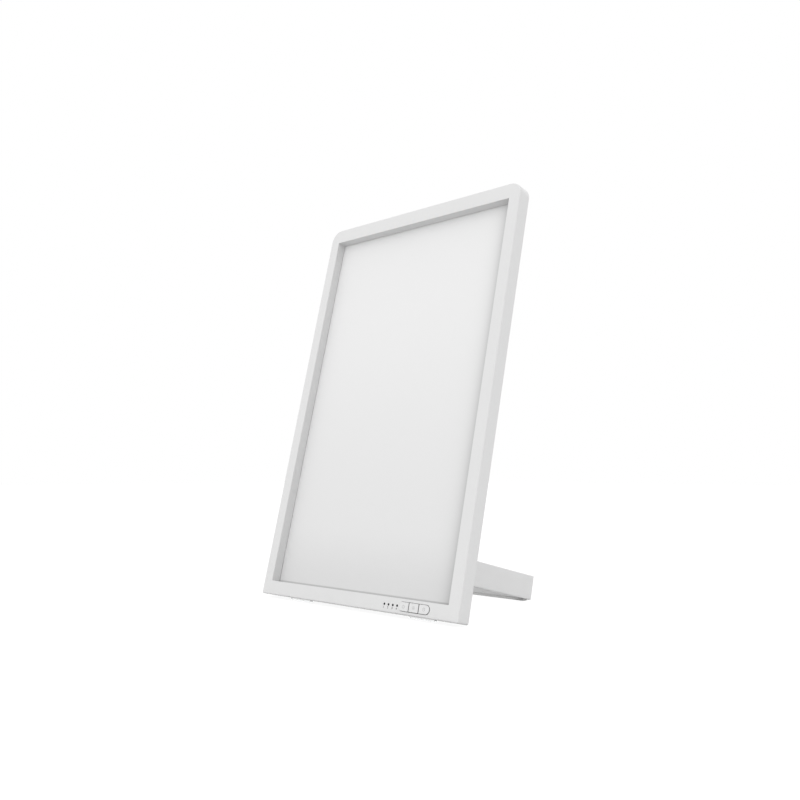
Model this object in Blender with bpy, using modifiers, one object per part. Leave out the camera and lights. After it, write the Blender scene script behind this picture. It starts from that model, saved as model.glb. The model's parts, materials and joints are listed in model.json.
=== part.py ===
"""Light therapy lamp: a flat, edge-lit panel that leans back on a U-shaped folding stand.

Metres, +Z up. The front looks along -Y. The origin is on the table, under the middle of the lamp.
The panel is modelled upright in its own frame (X across, Y towards the back, Z up along the panel,
with zero at the back bottom edge) and is then leaned back with the empty "panel_pose".
"""

import math

import bmesh
import bpy
from mathutils import Matrix, Vector

# Overall form of the panel
PANEL_WIDTH = 0.2310
PANEL_HEIGHT = 0.3570
PANEL_DEPTH = 0.0131
TILT = math.radians(13.62)
TOP_CORNER_RADIUS = 0.0110
BOTTOM_CORNER_RADIUS = 0.0014
EDGE_ROUND = 0.0011
TABLE_LIFT = 0.0005

# Window in the front
SIDE_BORDER = 0.0108
TOP_BORDER = 0.0136
BOTTOM_BORDER = 0.0120
RECESS_DEPTH = 0.0088
WINDOW_CORNER_RADIUS = 0.0004

# Walls of the front housing
OUTER_WALL = 0.0020
FRONT_WALL = 0.0020
LIP_WALL = 0.0016

# Clearances
SEAT_GAP = 0.0003
SLIDE_GAP = 0.00035
OVERRUN = 0.0020

# Sheets behind the window
DIFFUSER_THICK = 0.0020
DIFFUSER_OVERLAP = 0.0030
GUIDE_THICK = 0.0030
GUIDE_OVERLAP = 0.0003
REFLECTOR_THICK = 0.0005
BACK_PLATE_THICK = 0.0008

# Light strips beside the guide
STRIP_BOARD_THICK = 0.0010
STRIP_LED_THICK = 0.0008
STRIP_LED_LENGTH = 0.0040
STRIP_LED_WIDTH = 0.0024
STRIP_LED_PITCH = 0.0132
STRIP_END_INSET = 0.0030

# Rear cover
COVER_WALL = 0.0015
COVER_FLANGE_THICK = 0.0020
COVER_RISE = 0.0047
TRAY_SIDE_INSET = 0.0060
TRAY_TOP_INSET = 0.0105
TRAY_BOTTOM_INSET = 0.0095
TRAY_CORNER_RADIUS = 0.0070
TRAY_EDGE_ROUND = 0.0012
COVER_SCREW_SIDE_INSET = 0.0160
COVER_SCREW_BOSS_RADIUS = 0.0028

# Screws
SCREW_RADIUS = 0.00110
SCREW_HEAD_RADIUS = 0.00215
SCREW_HEAD_THICK = 0.0011
SCREW_LENGTH = 0.0055
SMALL_SCREW_RADIUS = 0.0007
SMALL_SCREW_LENGTH = 0.0035
RECESS_SHARE = 0.7
RECESS_SIDES = 6

# Stand
STAND_WIDTH = 0.1436
STAND_REACH = 0.1340
ARM_THICK = 0.0080
BAR_HEIGHT = 0.0208
TABLE_CLEARANCE = 0.0003
CROSSBAR_THICK = 0.0070
SOLE_SIDE_INSET = 0.0028
SOLE_BACK_INSET = 0.0020
STAND_EDGE_ROUND = 0.0007
INNER_CORNER_RADIUS = 0.0060

# Stand hinge
HINGE_DEPTH = 0.0162
PIN_RADIUS = 0.0030
PIN_HEAD_RADIUS = 0.0055
PIN_HEAD_THICK = 0.0018
PIN_LENGTH = 0.0230
PIN_SLOT_WIDTH = 0.0012
PIN_SLOT_DEPTH = 0.0007
PIN_CLEARANCE = 0.00015
WASHER_THICK = 0.0006
WASHER_RADIUS = 0.0085
HINGE_BOSS_RADIUS = 0.0060

# Hinge housing on the back
HOUSING_BOTTOM = 0.0200
HOUSING_TOP = 0.0980
HOUSING_REACH = 0.0276
HOUSING_WALL = 0.0020
HOUSING_FLAT_BOTTOM = 0.0270
HOUSING_FLAT_TOP = 0.0600
HOUSING_TOP_REACH = 0.0110
HOUSING_BOTTOM_REACH = 0.0215
HOUSING_EDGE_ROUND = 0.0015
HOUSING_POST_RADIUS = 0.0032
HOUSING_POST_INSET = 0.0110
HOUSING_POST_BOTTOM = 0.0275
HOUSING_POST_TOP = 0.0880
VENT_WIDTH = 0.0020
VENT_LENGTH = 0.0180
VENT_PITCH = 0.0060
VENT_SIDE_INSET = 0.0250

# Power inlet
JACK_SIDE_INSET = 0.0326
JACK_CENTRE_HEIGHT = 0.0415
JACK_POCKET_WIDTH = 0.0150
JACK_POCKET_HEIGHT = 0.0120
JACK_POCKET_DEPTH = 0.0069
JACK_POCKET_WALL = 0.0015
JACK_BODY_WIDTH = 0.0090
JACK_BODY_HEIGHT = 0.0100
JACK_NOSE_RADIUS = 0.0040
JACK_BORE_RADIUS = 0.00275
JACK_BORE_DEPTH = 0.0085
JACK_PIN_RADIUS = 0.0010

# Driver board
DRIVER_BOARD_THICK = 0.0016
DRIVER_BOARD_SIDE_INSET = 0.0146
DRIVER_BOARD_BOTTOM = 0.0340
DRIVER_BOARD_TOP = 0.0820
DRIVER_BOARD_DEPTH = 0.0080
BOARD_POST_RADIUS = 0.0026

# Keys
KEY_GROUP_SIDE_INSET = 0.0286
KEY_GROUP_WIDTH = 0.0314
KEY_MIDDLE_WIDTH = 0.01025
KEY_HEIGHT = 0.0068
KEY_CENTRE_HEIGHT = 0.0062
KEY_PROUD = 0.0007
KEY_SPLIT = 0.00055
KEY_TRAVEL = 0.0004
KEY_FLANGE = 0.00055
KEY_FLANGE_THICK = 0.0009
KEY_STEM_RADIUS = 0.0016
KEY_EDGE_ROUND = 0.0003

# Switches, lenses and their board
SWITCH_WIDTH = 0.0045
SWITCH_THICK = 0.0018
PLUNGER_RADIUS = 0.0011
PLUNGER_HEIGHT = 0.0006
CONTROL_BOARD_THICK = 0.0010
CONTROL_BOARD_BOTTOM = 0.0024
CONTROL_BOARD_TOP = 0.0087
CONTROL_BOARD_FRONT = 0.0062
CONTROL_BOARD_MARGIN = 0.0075
CONTROL_POST_RADIUS = 0.0019
LENS_KEY_GAP = 0.00224
LENS_PITCH = 0.00462
LENS_COUNT = 4
LENS_RADIUS = 0.00085
LENS_FLANGE_RADIUS = 0.0016
LENS_FLANGE_THICK = 0.0007
LENS_SET_BACK = 0.0001
SOURCE_SIZE = 0.0012
SOURCE_HEIGHT = 0.0006

# Feet under the panel
FOOT_LENGTH = 0.0260
FOOT_SIDE_INSET = 0.0305
FOOT_BACK_INSET = 0.0006
FOOT_DEPTH = 0.0030
FOOT_TENON = 0.0012

# Names of the keys, from the left to the right
KEY_WORDS = ("left", "middle", "right")

# Smoothness
ARC_STEPS = 8
SMALL_ARC_STEPS = 2
ROUND_STEPS = 32
SMALL_ROUND_STEPS = 16

# Places that follow from the sizes above
HALF_WIDTH = PANEL_WIDTH / 2
WINDOW_HALF = HALF_WIDTH - SIDE_BORDER
WINDOW_BOTTOM = BOTTOM_BORDER
WINDOW_TOP = PANEL_HEIGHT - TOP_BORDER
FRONT = -PANEL_DEPTH
DIFFUSER_FRONT = FRONT + RECESS_DEPTH
LIP_END = DIFFUSER_FRONT - SEAT_GAP
GUIDE_FRONT = DIFFUSER_FRONT + DIFFUSER_THICK + SEAT_GAP
REFLECTOR_FRONT = GUIDE_FRONT + GUIDE_THICK + SEAT_GAP
BACK_PLATE_FRONT = REFLECTOR_FRONT + REFLECTOR_THICK + SEAT_GAP
FLANGE_FRONT = -COVER_FLANGE_THICK
TRAY_BACK = COVER_RISE
TRAY_FLOOR = COVER_RISE - COVER_WALL
HOUSING_FRONT = TRAY_BACK + SEAT_GAP
BAR_BOTTOM = STAND_REACH * math.tan(TILT) - TABLE_LIFT / math.cos(TILT) + TABLE_CLEARANCE
STAND_HALF = STAND_WIDTH / 2
ARM_INNER = STAND_HALF - ARM_THICK
HOUSING_HALF = ARM_INNER - WASHER_THICK - 2 * SEAT_GAP
HINGE_HEIGHT = BAR_BOTTOM + BAR_HEIGHT / 2
JACK_OFFSET = HOUSING_HALF - JACK_SIDE_INSET
DRIVER_BOARD_WIDTH = 2 * (HOUSING_HALF - DRIVER_BOARD_SIDE_INSET)
VENT_COUNT = 1 + int(2 * (HOUSING_HALF - VENT_SIDE_INSET) / VENT_PITCH)
KEY_GROUP_CENTRE = HALF_WIDTH - KEY_GROUP_SIDE_INSET - KEY_GROUP_WIDTH / 2
LENS_FIRST = KEY_GROUP_CENTRE - KEY_GROUP_WIDTH / 2 - LENS_KEY_GAP - (LENS_COUNT - 1) * LENS_PITCH
FOOT_OFFSET = HALF_WIDTH - FOOT_SIDE_INSET - FOOT_LENGTH / 2
GROUND_Y = -(-PANEL_DEPTH * math.cos(TILT)
             + STAND_REACH * math.cos(TILT) + (BAR_BOTTOM + BAR_HEIGHT) * math.sin(TILT)) / 2


def clear_scene():
    """Remove every object of the open scene."""
    for item in list(bpy.data.objects):
        bpy.data.objects.remove(item, do_unlink=True)


def new_collection(name):
    """Make a collection and link it to the scene."""
    group = bpy.data.collections.new(name)
    bpy.context.scene.collection.children.link(group)
    return group


def new_material(name, colour, roughness, metallic=0.0):
    """Make a material with one Principled shader."""
    material = bpy.data.materials.new(name)
    material.use_nodes = True
    shader = material.node_tree.nodes["Principled BSDF"]
    shader.inputs["Base Color"].default_value = (*colour, 1.0)
    shader.inputs["Roughness"].default_value = roughness
    shader.inputs["Metallic"].default_value = metallic
    return material


def add_mesh(name, mesh, group, parent=None):
    """Put a mesh into a collection as an object."""
    item = bpy.data.objects.new(name, mesh)
    group.objects.link(item)
    item.parent = parent
    return item


def arc_points(centre, radius, start, end, steps=ARC_STEPS):
    """Points on an arc, both ends included."""
    points = []
    for i in range(steps + 1):
        angle = start + (end - start) * i / steps
        points.append((centre[0] + radius * math.cos(angle), centre[1] + radius * math.sin(angle)))
    return points


def without_repeats(points):
    """Leave out points that lie on the one before them."""
    kept = []
    for i, point in enumerate(points):
        if math.dist(point, points[i - 1]) > SEAT_GAP / 100:
            kept.append(point)
    return kept


def rounded_outline(left, right, bottom, top, bottom_radius, top_radius, steps=ARC_STEPS):
    """Closed outline of an upright rectangle with rounded corners, anticlockwise."""
    quarter = math.pi / 2
    points = arc_points((left + bottom_radius, bottom + bottom_radius), bottom_radius,
                        2 * quarter, 3 * quarter, steps)
    points += arc_points((right - bottom_radius, bottom + bottom_radius), bottom_radius,
                         3 * quarter, 4 * quarter, steps)
    points += arc_points((right - top_radius, top - top_radius), top_radius, 0, quarter, steps)
    points += arc_points((left + top_radius, top - top_radius), top_radius, quarter, 2 * quarter, steps)
    return without_repeats(points)


def sheet_mesh(name, outlines, thickness):
    """Extrude a flat outline, with any holes in it, along its own normal."""
    curve = bpy.data.curves.new(name, "CURVE")
    curve.dimensions = "2D"
    curve.fill_mode = "BOTH"
    curve.extrude = thickness / 2
    for outline in outlines:
        spline = curve.splines.new("POLY")
        spline.points.add(len(outline) - 1)
        for point, place in zip(spline.points, outline):
            point.co = (place[0], place[1], 0, 1)
        spline.use_cyclic_u = True
    holder = bpy.data.objects.new(name, curve)
    bpy.context.scene.collection.objects.link(holder)
    bpy.context.view_layer.update()
    graph = bpy.context.evaluated_depsgraph_get()
    mesh = bpy.data.meshes.new_from_object(holder.evaluated_get(graph))
    bpy.data.objects.remove(holder, do_unlink=True)
    build = bmesh.new()
    build.from_mesh(mesh)
    bmesh.ops.remove_doubles(build, verts=build.verts, dist=SEAT_GAP / 100)
    bmesh.ops.dissolve_limit(build, angle_limit=math.radians(1), verts=build.verts, edges=build.edges)
    bmesh.ops.recalc_face_normals(build, faces=build.faces)
    build.to_mesh(mesh)
    build.free()
    return mesh


def upright_sheet(name, outlines, front, back, group, parent=None):
    """A sheet that stands in the panel's plane, from one depth to another."""
    mesh = sheet_mesh(name, outlines, back - front)
    mesh.transform(Matrix.Translation((0, (front + back) / 2, 0)) @ Matrix.Rotation(math.pi / 2, 4, "X"))
    return add_mesh(name, mesh, group, parent)


def side_profile(name, outline, left, right, group, parent=None):
    """A prism whose outline is given as (depth, height) pairs, from one side to the other."""
    mesh = sheet_mesh(name, [outline], right - left)
    turn = Matrix(((0, 0, 1, 0), (1, 0, 0, 0), (0, 1, 0, 0), (0, 0, 0, 1)))
    mesh.transform(Matrix.Translation(((left + right) / 2, 0, 0)) @ turn)
    return add_mesh(name, mesh, group, parent)


def plan_profile(name, outlines, bottom, top, group, parent=None):
    """A prism whose outline is given as (across, depth) pairs, from one height to another."""
    mesh = sheet_mesh(name, outlines, top - bottom)
    mesh.transform(Matrix.Translation((0, 0, (bottom + top) / 2)))
    return add_mesh(name, mesh, group, parent)


def block(name, low, high, group, parent=None):
    """A box between two corners."""
    size = Vector(high) - Vector(low)
    middle = (Vector(high) + Vector(low)) / 2
    mesh = bpy.data.meshes.new(name)
    build = bmesh.new()
    bmesh.ops.create_cube(build, size=1)
    bmesh.ops.scale(build, vec=size, verts=build.verts)
    bmesh.ops.translate(build, vec=middle, verts=build.verts)
    build.to_mesh(mesh)
    build.free()
    return add_mesh(name, mesh, group, parent)


def turned(name, radius, start, end, axis, place, group, parent=None, steps=ROUND_STEPS, tip=None):
    """A cylinder or cone along X or Y, from one place on its axis to another."""
    mesh = bpy.data.meshes.new(name)
    build = bmesh.new()
    bmesh.ops.create_cone(build, cap_ends=True, segments=steps, radius1=radius,
                          radius2=radius if tip is None else tip, depth=end - start)
    build.to_mesh(mesh)
    build.free()
    middle = (start + end) / 2
    if axis == "X":
        mesh.transform(Matrix.Translation((middle, *place)) @ Matrix.Rotation(math.pi / 2, 4, "Y"))
    else:
        mesh.transform(Matrix.Translation((place[0], middle, place[1])) @ Matrix.Rotation(-math.pi / 2, 4, "X"))
    item = add_mesh(name, mesh, group, parent)
    shade_round(item)
    return item


def shade_round(item, limit=math.radians(35)):
    """Shade round faces smooth and keep the edges crisp."""
    item.data.shade_smooth()
    item.data.set_sharp_from_angle(angle=limit)


def apply_all(item):
    """Replace an object's mesh with the one its modifiers make."""
    bpy.context.view_layer.update()
    graph = bpy.context.evaluated_depsgraph_get()
    mesh = bpy.data.meshes.new_from_object(item.evaluated_get(graph))
    item.modifiers.clear()
    old = item.data
    item.data = mesh
    if old.users == 0:
        bpy.data.meshes.remove(old)


def combine(item, tool, operation):
    """Join, cut or trim an object with another one, which is used up."""
    modifier = item.modifiers.new(operation.lower(), "BOOLEAN")
    modifier.operation = operation
    modifier.solver = "EXACT"
    modifier.object = tool
    apply_all(item)
    mesh = tool.data
    bpy.data.objects.remove(tool, do_unlink=True)
    if mesh.users == 0:
        bpy.data.meshes.remove(mesh)


def join(item, *tools):
    """Unite pieces into one body."""
    for tool in tools:
        combine(item, tool, "UNION")


def cut(item, *tools):
    """Cut the tools out of a piece."""
    for tool in tools:
        combine(item, tool, "DIFFERENCE")


def round_edges(item, width, segments=2, limit=math.radians(50)):
    """Round the sharp edges of a piece."""
    modifier = item.modifiers.new("round", "BEVEL")
    modifier.width = width
    modifier.segments = segments
    modifier.limit_method = "ANGLE"
    modifier.angle_limit = limit
    modifier.use_clamp_overlap = True
    apply_all(item)
    shade_round(item)


def finish(item, material):
    """Give a piece its material and its shading."""
    item.data.materials.clear()
    item.data.materials.append(material)
    shade_round(item)
    return item


def panel_outline(inset=0):
    """Outline of the panel, drawn in by an inset."""
    return rounded_outline(-HALF_WIDTH + inset, HALF_WIDTH - inset, inset, PANEL_HEIGHT - inset,
                           max(BOTTOM_CORNER_RADIUS - inset, SEAT_GAP), TOP_CORNER_RADIUS - inset)


def window_outline(grow=0):
    """Outline of the window, grown by a margin."""
    radius = WINDOW_CORNER_RADIUS + grow
    return rounded_outline(-WINDOW_HALF - grow, WINDOW_HALF + grow, WINDOW_BOTTOM - grow,
                           WINDOW_TOP + grow, radius, radius, SMALL_ARC_STEPS)


def tray_outline(inset=0):
    """Outline of the raised field of the rear cover."""
    return rounded_outline(-HALF_WIDTH + TRAY_SIDE_INSET + inset, HALF_WIDTH - TRAY_SIDE_INSET - inset,
                           TRAY_BOTTOM_INSET + inset, PANEL_HEIGHT - TRAY_TOP_INSET - inset,
                           TRAY_CORNER_RADIUS - inset, TRAY_CORNER_RADIUS - inset)


def stadium_outline(centre, width, height, grow=0, steps=ARC_STEPS):
    """Outline with two straight sides and two half-round ends."""
    radius = height / 2 + grow
    left = centre[0] - width / 2 - grow
    right = centre[0] + width / 2 + grow
    low = centre[1] - radius
    high = centre[1] + radius
    return rounded_outline(left, right, low, high, radius, radius, steps)


def cover_screw_places():
    """Places of the screws that hold the rear cover, in the flange above and below the tray."""
    top = PANEL_HEIGHT - (OUTER_WALL + TRAY_TOP_INSET) / 2
    bottom = (OUTER_WALL + TRAY_BOTTOM_INSET) / 2
    side = HALF_WIDTH - COVER_SCREW_SIDE_INSET
    return [(-side, top), (0, top), (side, top), (-side, bottom), (0, bottom), (side, bottom)]


def control_board_ends():
    """Left and right end of the control board."""
    left = LENS_FIRST - CONTROL_BOARD_MARGIN
    right = KEY_GROUP_CENTRE + KEY_GROUP_WIDTH / 2 + CONTROL_BOARD_MARGIN
    return left, right


def control_post_places():
    """Places of the two posts that carry the control board."""
    left, right = control_board_ends()
    inset = CONTROL_POST_RADIUS + SCREW_RADIUS
    height = (CONTROL_BOARD_BOTTOM + CONTROL_BOARD_TOP) / 2
    return [(left + inset, height), (right - inset, height)]


def lens_places():
    """Places of the indicator lenses."""
    return [(LENS_FIRST + i * LENS_PITCH, KEY_CENTRE_HEIGHT) for i in range(LENS_COUNT)]


def key_limits():
    """Left and right edge of each key, from the left key to the right one."""
    left = KEY_GROUP_CENTRE - KEY_GROUP_WIDTH / 2
    right = KEY_GROUP_CENTRE + KEY_GROUP_WIDTH / 2
    inner = KEY_MIDDLE_WIDTH / 2
    half_split = KEY_SPLIT / 2
    return [(left, KEY_GROUP_CENTRE - inner - half_split),
            (KEY_GROUP_CENTRE - inner + half_split, KEY_GROUP_CENTRE + inner - half_split),
            (KEY_GROUP_CENTRE + inner + half_split, right)]


def foot_limits(side):
    """Left and right end of a foot."""
    middle = side * FOOT_OFFSET
    return middle - FOOT_LENGTH / 2, middle + FOOT_LENGTH / 2


def table_height(depth):
    """Height of the table's surface in the panel's frame, at a depth."""
    return depth * math.tan(TILT) - TABLE_LIFT / math.cos(TILT)


def housing_outline(inset=0):
    """Side profile of the hinge housing as (depth, height) pairs."""
    slope_low = math.atan2(HOUSING_FLAT_BOTTOM - HOUSING_BOTTOM, HOUSING_REACH - HOUSING_BOTTOM_REACH)
    slope_top = math.atan2(HOUSING_TOP - HOUSING_FLAT_TOP, HOUSING_REACH - HOUSING_TOP_REACH)
    low_shift = inset * math.tan((math.pi / 2 - slope_low) / 2)
    top_shift = inset * math.tan((math.pi / 2 - slope_top) / 2)
    foot_shift = inset * math.tan(slope_low / 2)
    head_shift = inset * math.tan(slope_top / 2)
    start = HOUSING_FRONT - (OVERRUN if inset else 0)
    return [(start, HOUSING_BOTTOM + inset),
            (HOUSING_BOTTOM_REACH - foot_shift, HOUSING_BOTTOM + inset),
            (HOUSING_REACH - inset, HOUSING_FLAT_BOTTOM + low_shift),
            (HOUSING_REACH - inset, HOUSING_FLAT_TOP - top_shift),
            (HOUSING_TOP_REACH - head_shift, HOUSING_TOP - inset),
            (start, HOUSING_TOP - inset)]


def housing_post_places():
    """Places of the corner posts that take the housing's screws."""
    side = HOUSING_HALF - HOUSING_POST_INSET
    return [(x, z) for x in (-side, side) for z in (HOUSING_POST_BOTTOM, HOUSING_POST_TOP)]


def driver_post_places():
    """Places of the posts that carry the driver board."""
    side = DRIVER_BOARD_WIDTH / 2 - 2 * BOARD_POST_RADIUS
    low = DRIVER_BOARD_BOTTOM + 2 * BOARD_POST_RADIUS
    high = DRIVER_BOARD_TOP - 2 * BOARD_POST_RADIUS
    return [(-side, low), (side, high), (-side, high)]


def make_bezel(parts, tools, pose, material):
    """Front housing: a channel-section frame with a deep window."""
    bezel = upright_sheet("bezel_frame", [panel_outline()], FRONT, 0, parts, pose)
    round_edges(bezel, EDGE_ROUND, 3)
    window = upright_sheet("window", [window_outline()], FRONT - OVERRUN, OVERRUN, tools, pose)
    channel = upright_sheet("channel", [panel_outline(OUTER_WALL), window_outline(LIP_WALL)],
                            FRONT + FRONT_WALL, OVERRUN, tools, pose)
    leave_bosses(channel, tools, pose)
    lip_end = upright_sheet("lip_end", [window_outline(LIP_WALL + SEAT_GAP)], LIP_END, 2 * OVERRUN,
                            tools, pose)
    cut(bezel, window, channel, lip_end)
    cut_screw_holes(bezel, tools, pose)
    cut_key_slot(bezel, tools, pose)
    cut_foot_slots(bezel, tools, pose)
    return finish(bezel, material)


def leave_bosses(channel, tools, pose):
    """Leave room in the channel's cutter for the screw bosses and the control board's posts."""
    front = FRONT + FRONT_WALL / 2
    for place in cover_screw_places():
        boss = turned("boss", COVER_SCREW_BOSS_RADIUS, front, FLANGE_FRONT - SEAT_GAP, "Y", place, tools,
                      pose, SMALL_ROUND_STEPS)
        cut(channel, boss)
    for place in control_post_places():
        post = turned("post", CONTROL_POST_RADIUS, front, -CONTROL_BOARD_FRONT - SEAT_GAP, "Y", place,
                      tools, pose, SMALL_ROUND_STEPS)
        cut(channel, post)


def cut_screw_holes(bezel, tools, pose):
    """Pilot holes in the screw bosses and in the control board's posts."""
    for place in cover_screw_places():
        hole = turned("hole", SCREW_RADIUS + PIN_CLEARANCE, FLANGE_FRONT - SCREW_LENGTH, OVERRUN,
                      "Y", place, tools, pose, SMALL_ROUND_STEPS)
        cut(bezel, hole)
    for place in control_post_places():
        hole = turned("hole", SMALL_SCREW_RADIUS + PIN_CLEARANCE, FRONT + FRONT_WALL + SEAT_GAP, OVERRUN,
                      "Y", place, tools, pose, SMALL_ROUND_STEPS)
        cut(bezel, hole)


def cut_key_slot(bezel, tools, pose):
    """Slot for the keys and holes for the lenses."""
    middle = (KEY_GROUP_CENTRE, KEY_CENTRE_HEIGHT)
    outline = stadium_outline(middle, KEY_GROUP_WIDTH, KEY_HEIGHT, SLIDE_GAP)
    slot = upright_sheet("slot", [outline], FRONT - OVERRUN, FRONT + FRONT_WALL + SEAT_GAP, tools, pose)
    cut(bezel, slot)
    for place in lens_places():
        hole = turned("hole", LENS_RADIUS + PIN_CLEARANCE, FRONT - OVERRUN,
                      FRONT + FRONT_WALL + SEAT_GAP, "Y", place, tools, pose, SMALL_ROUND_STEPS)
        cut(bezel, hole)


def cut_foot_slots(bezel, tools, pose):
    """Blind slots in the bottom face for the feet."""
    for side in (-1, 1):
        left, right = foot_limits(side)
        slot = block("slot", (left - SEAT_GAP, -FOOT_BACK_INSET - FOOT_DEPTH - SEAT_GAP, -OVERRUN),
                     (right + SEAT_GAP, -FOOT_BACK_INSET + SEAT_GAP, FOOT_TENON + SEAT_GAP), tools, pose)
        cut(bezel, slot)


def make_sheets(parts, pose, paints):
    """Diffuser, light guide, reflector and back plate."""
    diffuser = upright_sheet("diffuser", [window_outline(DIFFUSER_OVERLAP)], DIFFUSER_FRONT,
                             DIFFUSER_FRONT + DIFFUSER_THICK, parts, pose)
    finish(diffuser, paints["opal"])
    guide = upright_sheet("light_guide", [window_outline(GUIDE_OVERLAP)], GUIDE_FRONT,
                          GUIDE_FRONT + GUIDE_THICK, parts, pose)
    finish(guide, paints["clear"])
    film = upright_sheet("reflector_sheet", [window_outline(GUIDE_OVERLAP)], REFLECTOR_FRONT,
                         REFLECTOR_FRONT + REFLECTOR_THICK, parts, pose)
    finish(film, paints["film"])
    plate = upright_sheet("back_plate", [window_outline(GUIDE_OVERLAP)], BACK_PLATE_FRONT,
                          BACK_PLATE_FRONT + BACK_PLATE_THICK, parts, pose)
    finish(plate, paints["aluminium"])


def make_strip(name, side, parts, tools, pose, paints):
    """A narrow board with a row of light sources that face the guide's edge."""
    inner = WINDOW_HALF + GUIDE_OVERLAP + SEAT_GAP
    front = GUIDE_FRONT
    back = BACK_PLATE_FRONT + BACK_PLATE_THICK
    board_start = inner + STRIP_LED_THICK
    board_end = board_start + STRIP_BOARD_THICK
    low = WINDOW_BOTTOM + STRIP_END_INSET
    high = WINDOW_TOP - STRIP_END_INSET
    xs = sorted((side * board_start, side * board_end))
    strip = block(name, (xs[0], front, low), (xs[1], back, high), parts, pose)
    count = int((high - low - STRIP_LED_LENGTH) / STRIP_LED_PITCH)
    first = (low + high - count * STRIP_LED_PITCH) / 2
    middle = GUIDE_FRONT + GUIDE_THICK / 2
    sink = STRIP_BOARD_THICK / 4
    for i in range(count + 1):
        height = first + i * STRIP_LED_PITCH
        xs = sorted((side * inner, side * (board_start + sink)))
        source = block("source", (xs[0], middle - STRIP_LED_WIDTH / 2, height - STRIP_LED_LENGTH / 2),
                       (xs[1], middle + STRIP_LED_WIDTH / 2, height + STRIP_LED_LENGTH / 2), tools, pose)
        join(strip, source)
    return finish(strip, paints["board"])


def make_rear_cover(parts, tools, pose, material):
    """Shallow tray with a flange that sits inside the front housing."""
    inset = OUTER_WALL + SEAT_GAP
    cover = upright_sheet("rear_cover", [tray_outline()], FLANGE_FRONT / 2, TRAY_BACK, parts, pose)
    round_edges(cover, TRAY_EDGE_ROUND, 3)
    flange = upright_sheet("flange", [panel_outline(inset)], FLANGE_FRONT, 0, tools, pose)
    join(cover, flange)
    room = upright_sheet("room", [tray_outline(COVER_WALL)], FLANGE_FRONT - OVERRUN, TRAY_FLOOR,
                         tools, pose)
    cut(cover, room)
    for place in cover_screw_places():
        hole = turned("hole", SCREW_RADIUS + PIN_CLEARANCE, FLANGE_FRONT - OVERRUN, OVERRUN,
                      "Y", place, tools, pose, SMALL_ROUND_STEPS)
        cut(cover, hole)
    for place in housing_post_places():
        sink = turned("sink", SCREW_HEAD_RADIUS + PIN_CLEARANCE, TRAY_FLOOR - PIN_CLEARANCE,
                      TRAY_FLOOR + SCREW_HEAD_THICK, "Y", place, tools, pose, SMALL_ROUND_STEPS,
                      SCREW_RADIUS + PIN_CLEARANCE)
        hole = turned("hole", SCREW_RADIUS + PIN_CLEARANCE, TRAY_FLOOR - PIN_CLEARANCE,
                      TRAY_BACK + OVERRUN, "Y", place, tools, pose, SMALL_ROUND_STEPS)
        cut(cover, sink, hole)
    return finish(cover, material)


def make_housing(parts, tools, pose, material):
    """Hinge housing: a shell that is open towards the panel."""
    housing = side_profile("hinge_housing", housing_outline(), -HOUSING_HALF, HOUSING_HALF, parts, pose)
    round_edges(housing, HOUSING_EDGE_ROUND, 3, math.radians(20))
    room = side_profile("room", housing_outline(HOUSING_WALL), -HOUSING_HALF + HOUSING_WALL,
                        HOUSING_HALF - HOUSING_WALL, tools, pose)
    cut(housing, room)
    add_housing_posts(housing, tools, pose)
    add_jack_pocket(housing, tools, pose)
    add_hinge_bosses(housing, tools, pose)
    cut_vents(housing, tools, pose)
    return finish(housing, material)


def add_housing_posts(housing, tools, pose):
    """Corner posts for the housing's screws and posts for the driver board."""
    for place in housing_post_places():
        back = post_end(place[1], HOUSING_POST_RADIUS)
        post = turned("post", HOUSING_POST_RADIUS, HOUSING_FRONT, back, "Y", place, tools, pose,
                      SMALL_ROUND_STEPS)
        join(housing, post)
        hole = turned("hole", SCREW_RADIUS + PIN_CLEARANCE, HOUSING_FRONT - OVERRUN,
                      TRAY_FLOOR + SCREW_LENGTH + SEAT_GAP, "Y", place, tools, pose, SMALL_ROUND_STEPS)
        cut(housing, hole)
    start = DRIVER_BOARD_DEPTH + DRIVER_BOARD_THICK + SEAT_GAP
    for place in driver_post_places():
        back = post_end(place[1], BOARD_POST_RADIUS)
        post = turned("post", BOARD_POST_RADIUS, start, back, "Y", place, tools, pose, SMALL_ROUND_STEPS)
        join(housing, post)
        hole = turned("hole", SCREW_RADIUS + PIN_CLEARANCE, start - OVERRUN,
                      DRIVER_BOARD_DEPTH + SCREW_LENGTH + SEAT_GAP, "Y", place, tools, pose,
                      SMALL_ROUND_STEPS)
        cut(housing, hole)


def rear_wall_depth(height):
    """Depth of the housing's outer rear surface at a height."""
    if height > HOUSING_FLAT_TOP:
        share = (height - HOUSING_FLAT_TOP) / (HOUSING_TOP - HOUSING_FLAT_TOP)
        return HOUSING_REACH + share * (HOUSING_TOP_REACH - HOUSING_REACH)
    if height < HOUSING_FLAT_BOTTOM:
        share = (HOUSING_FLAT_BOTTOM - height) / (HOUSING_FLAT_BOTTOM - HOUSING_BOTTOM)
        return HOUSING_REACH + share * (HOUSING_BOTTOM_REACH - HOUSING_REACH)
    return HOUSING_REACH


def post_end(height, radius):
    """Depth inside the rear wall where a post ends without showing through."""
    return min(rear_wall_depth(height - radius), rear_wall_depth(height + radius)) - HOUSING_WALL / 2


def jack_face():
    """Depth of the pocket's floor, where the inlet's face lies."""
    return HOUSING_REACH - JACK_POCKET_DEPTH


def pocket_outline(grow=0):
    """Outline of the inlet's pocket."""
    radius = JACK_POCKET_WALL + grow
    return rounded_outline(JACK_OFFSET - JACK_POCKET_WIDTH / 2 - grow,
                           JACK_OFFSET + JACK_POCKET_WIDTH / 2 + grow,
                           JACK_CENTRE_HEIGHT - JACK_POCKET_HEIGHT / 2 - grow,
                           JACK_CENTRE_HEIGHT + JACK_POCKET_HEIGHT / 2 + grow, radius, radius)


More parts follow.
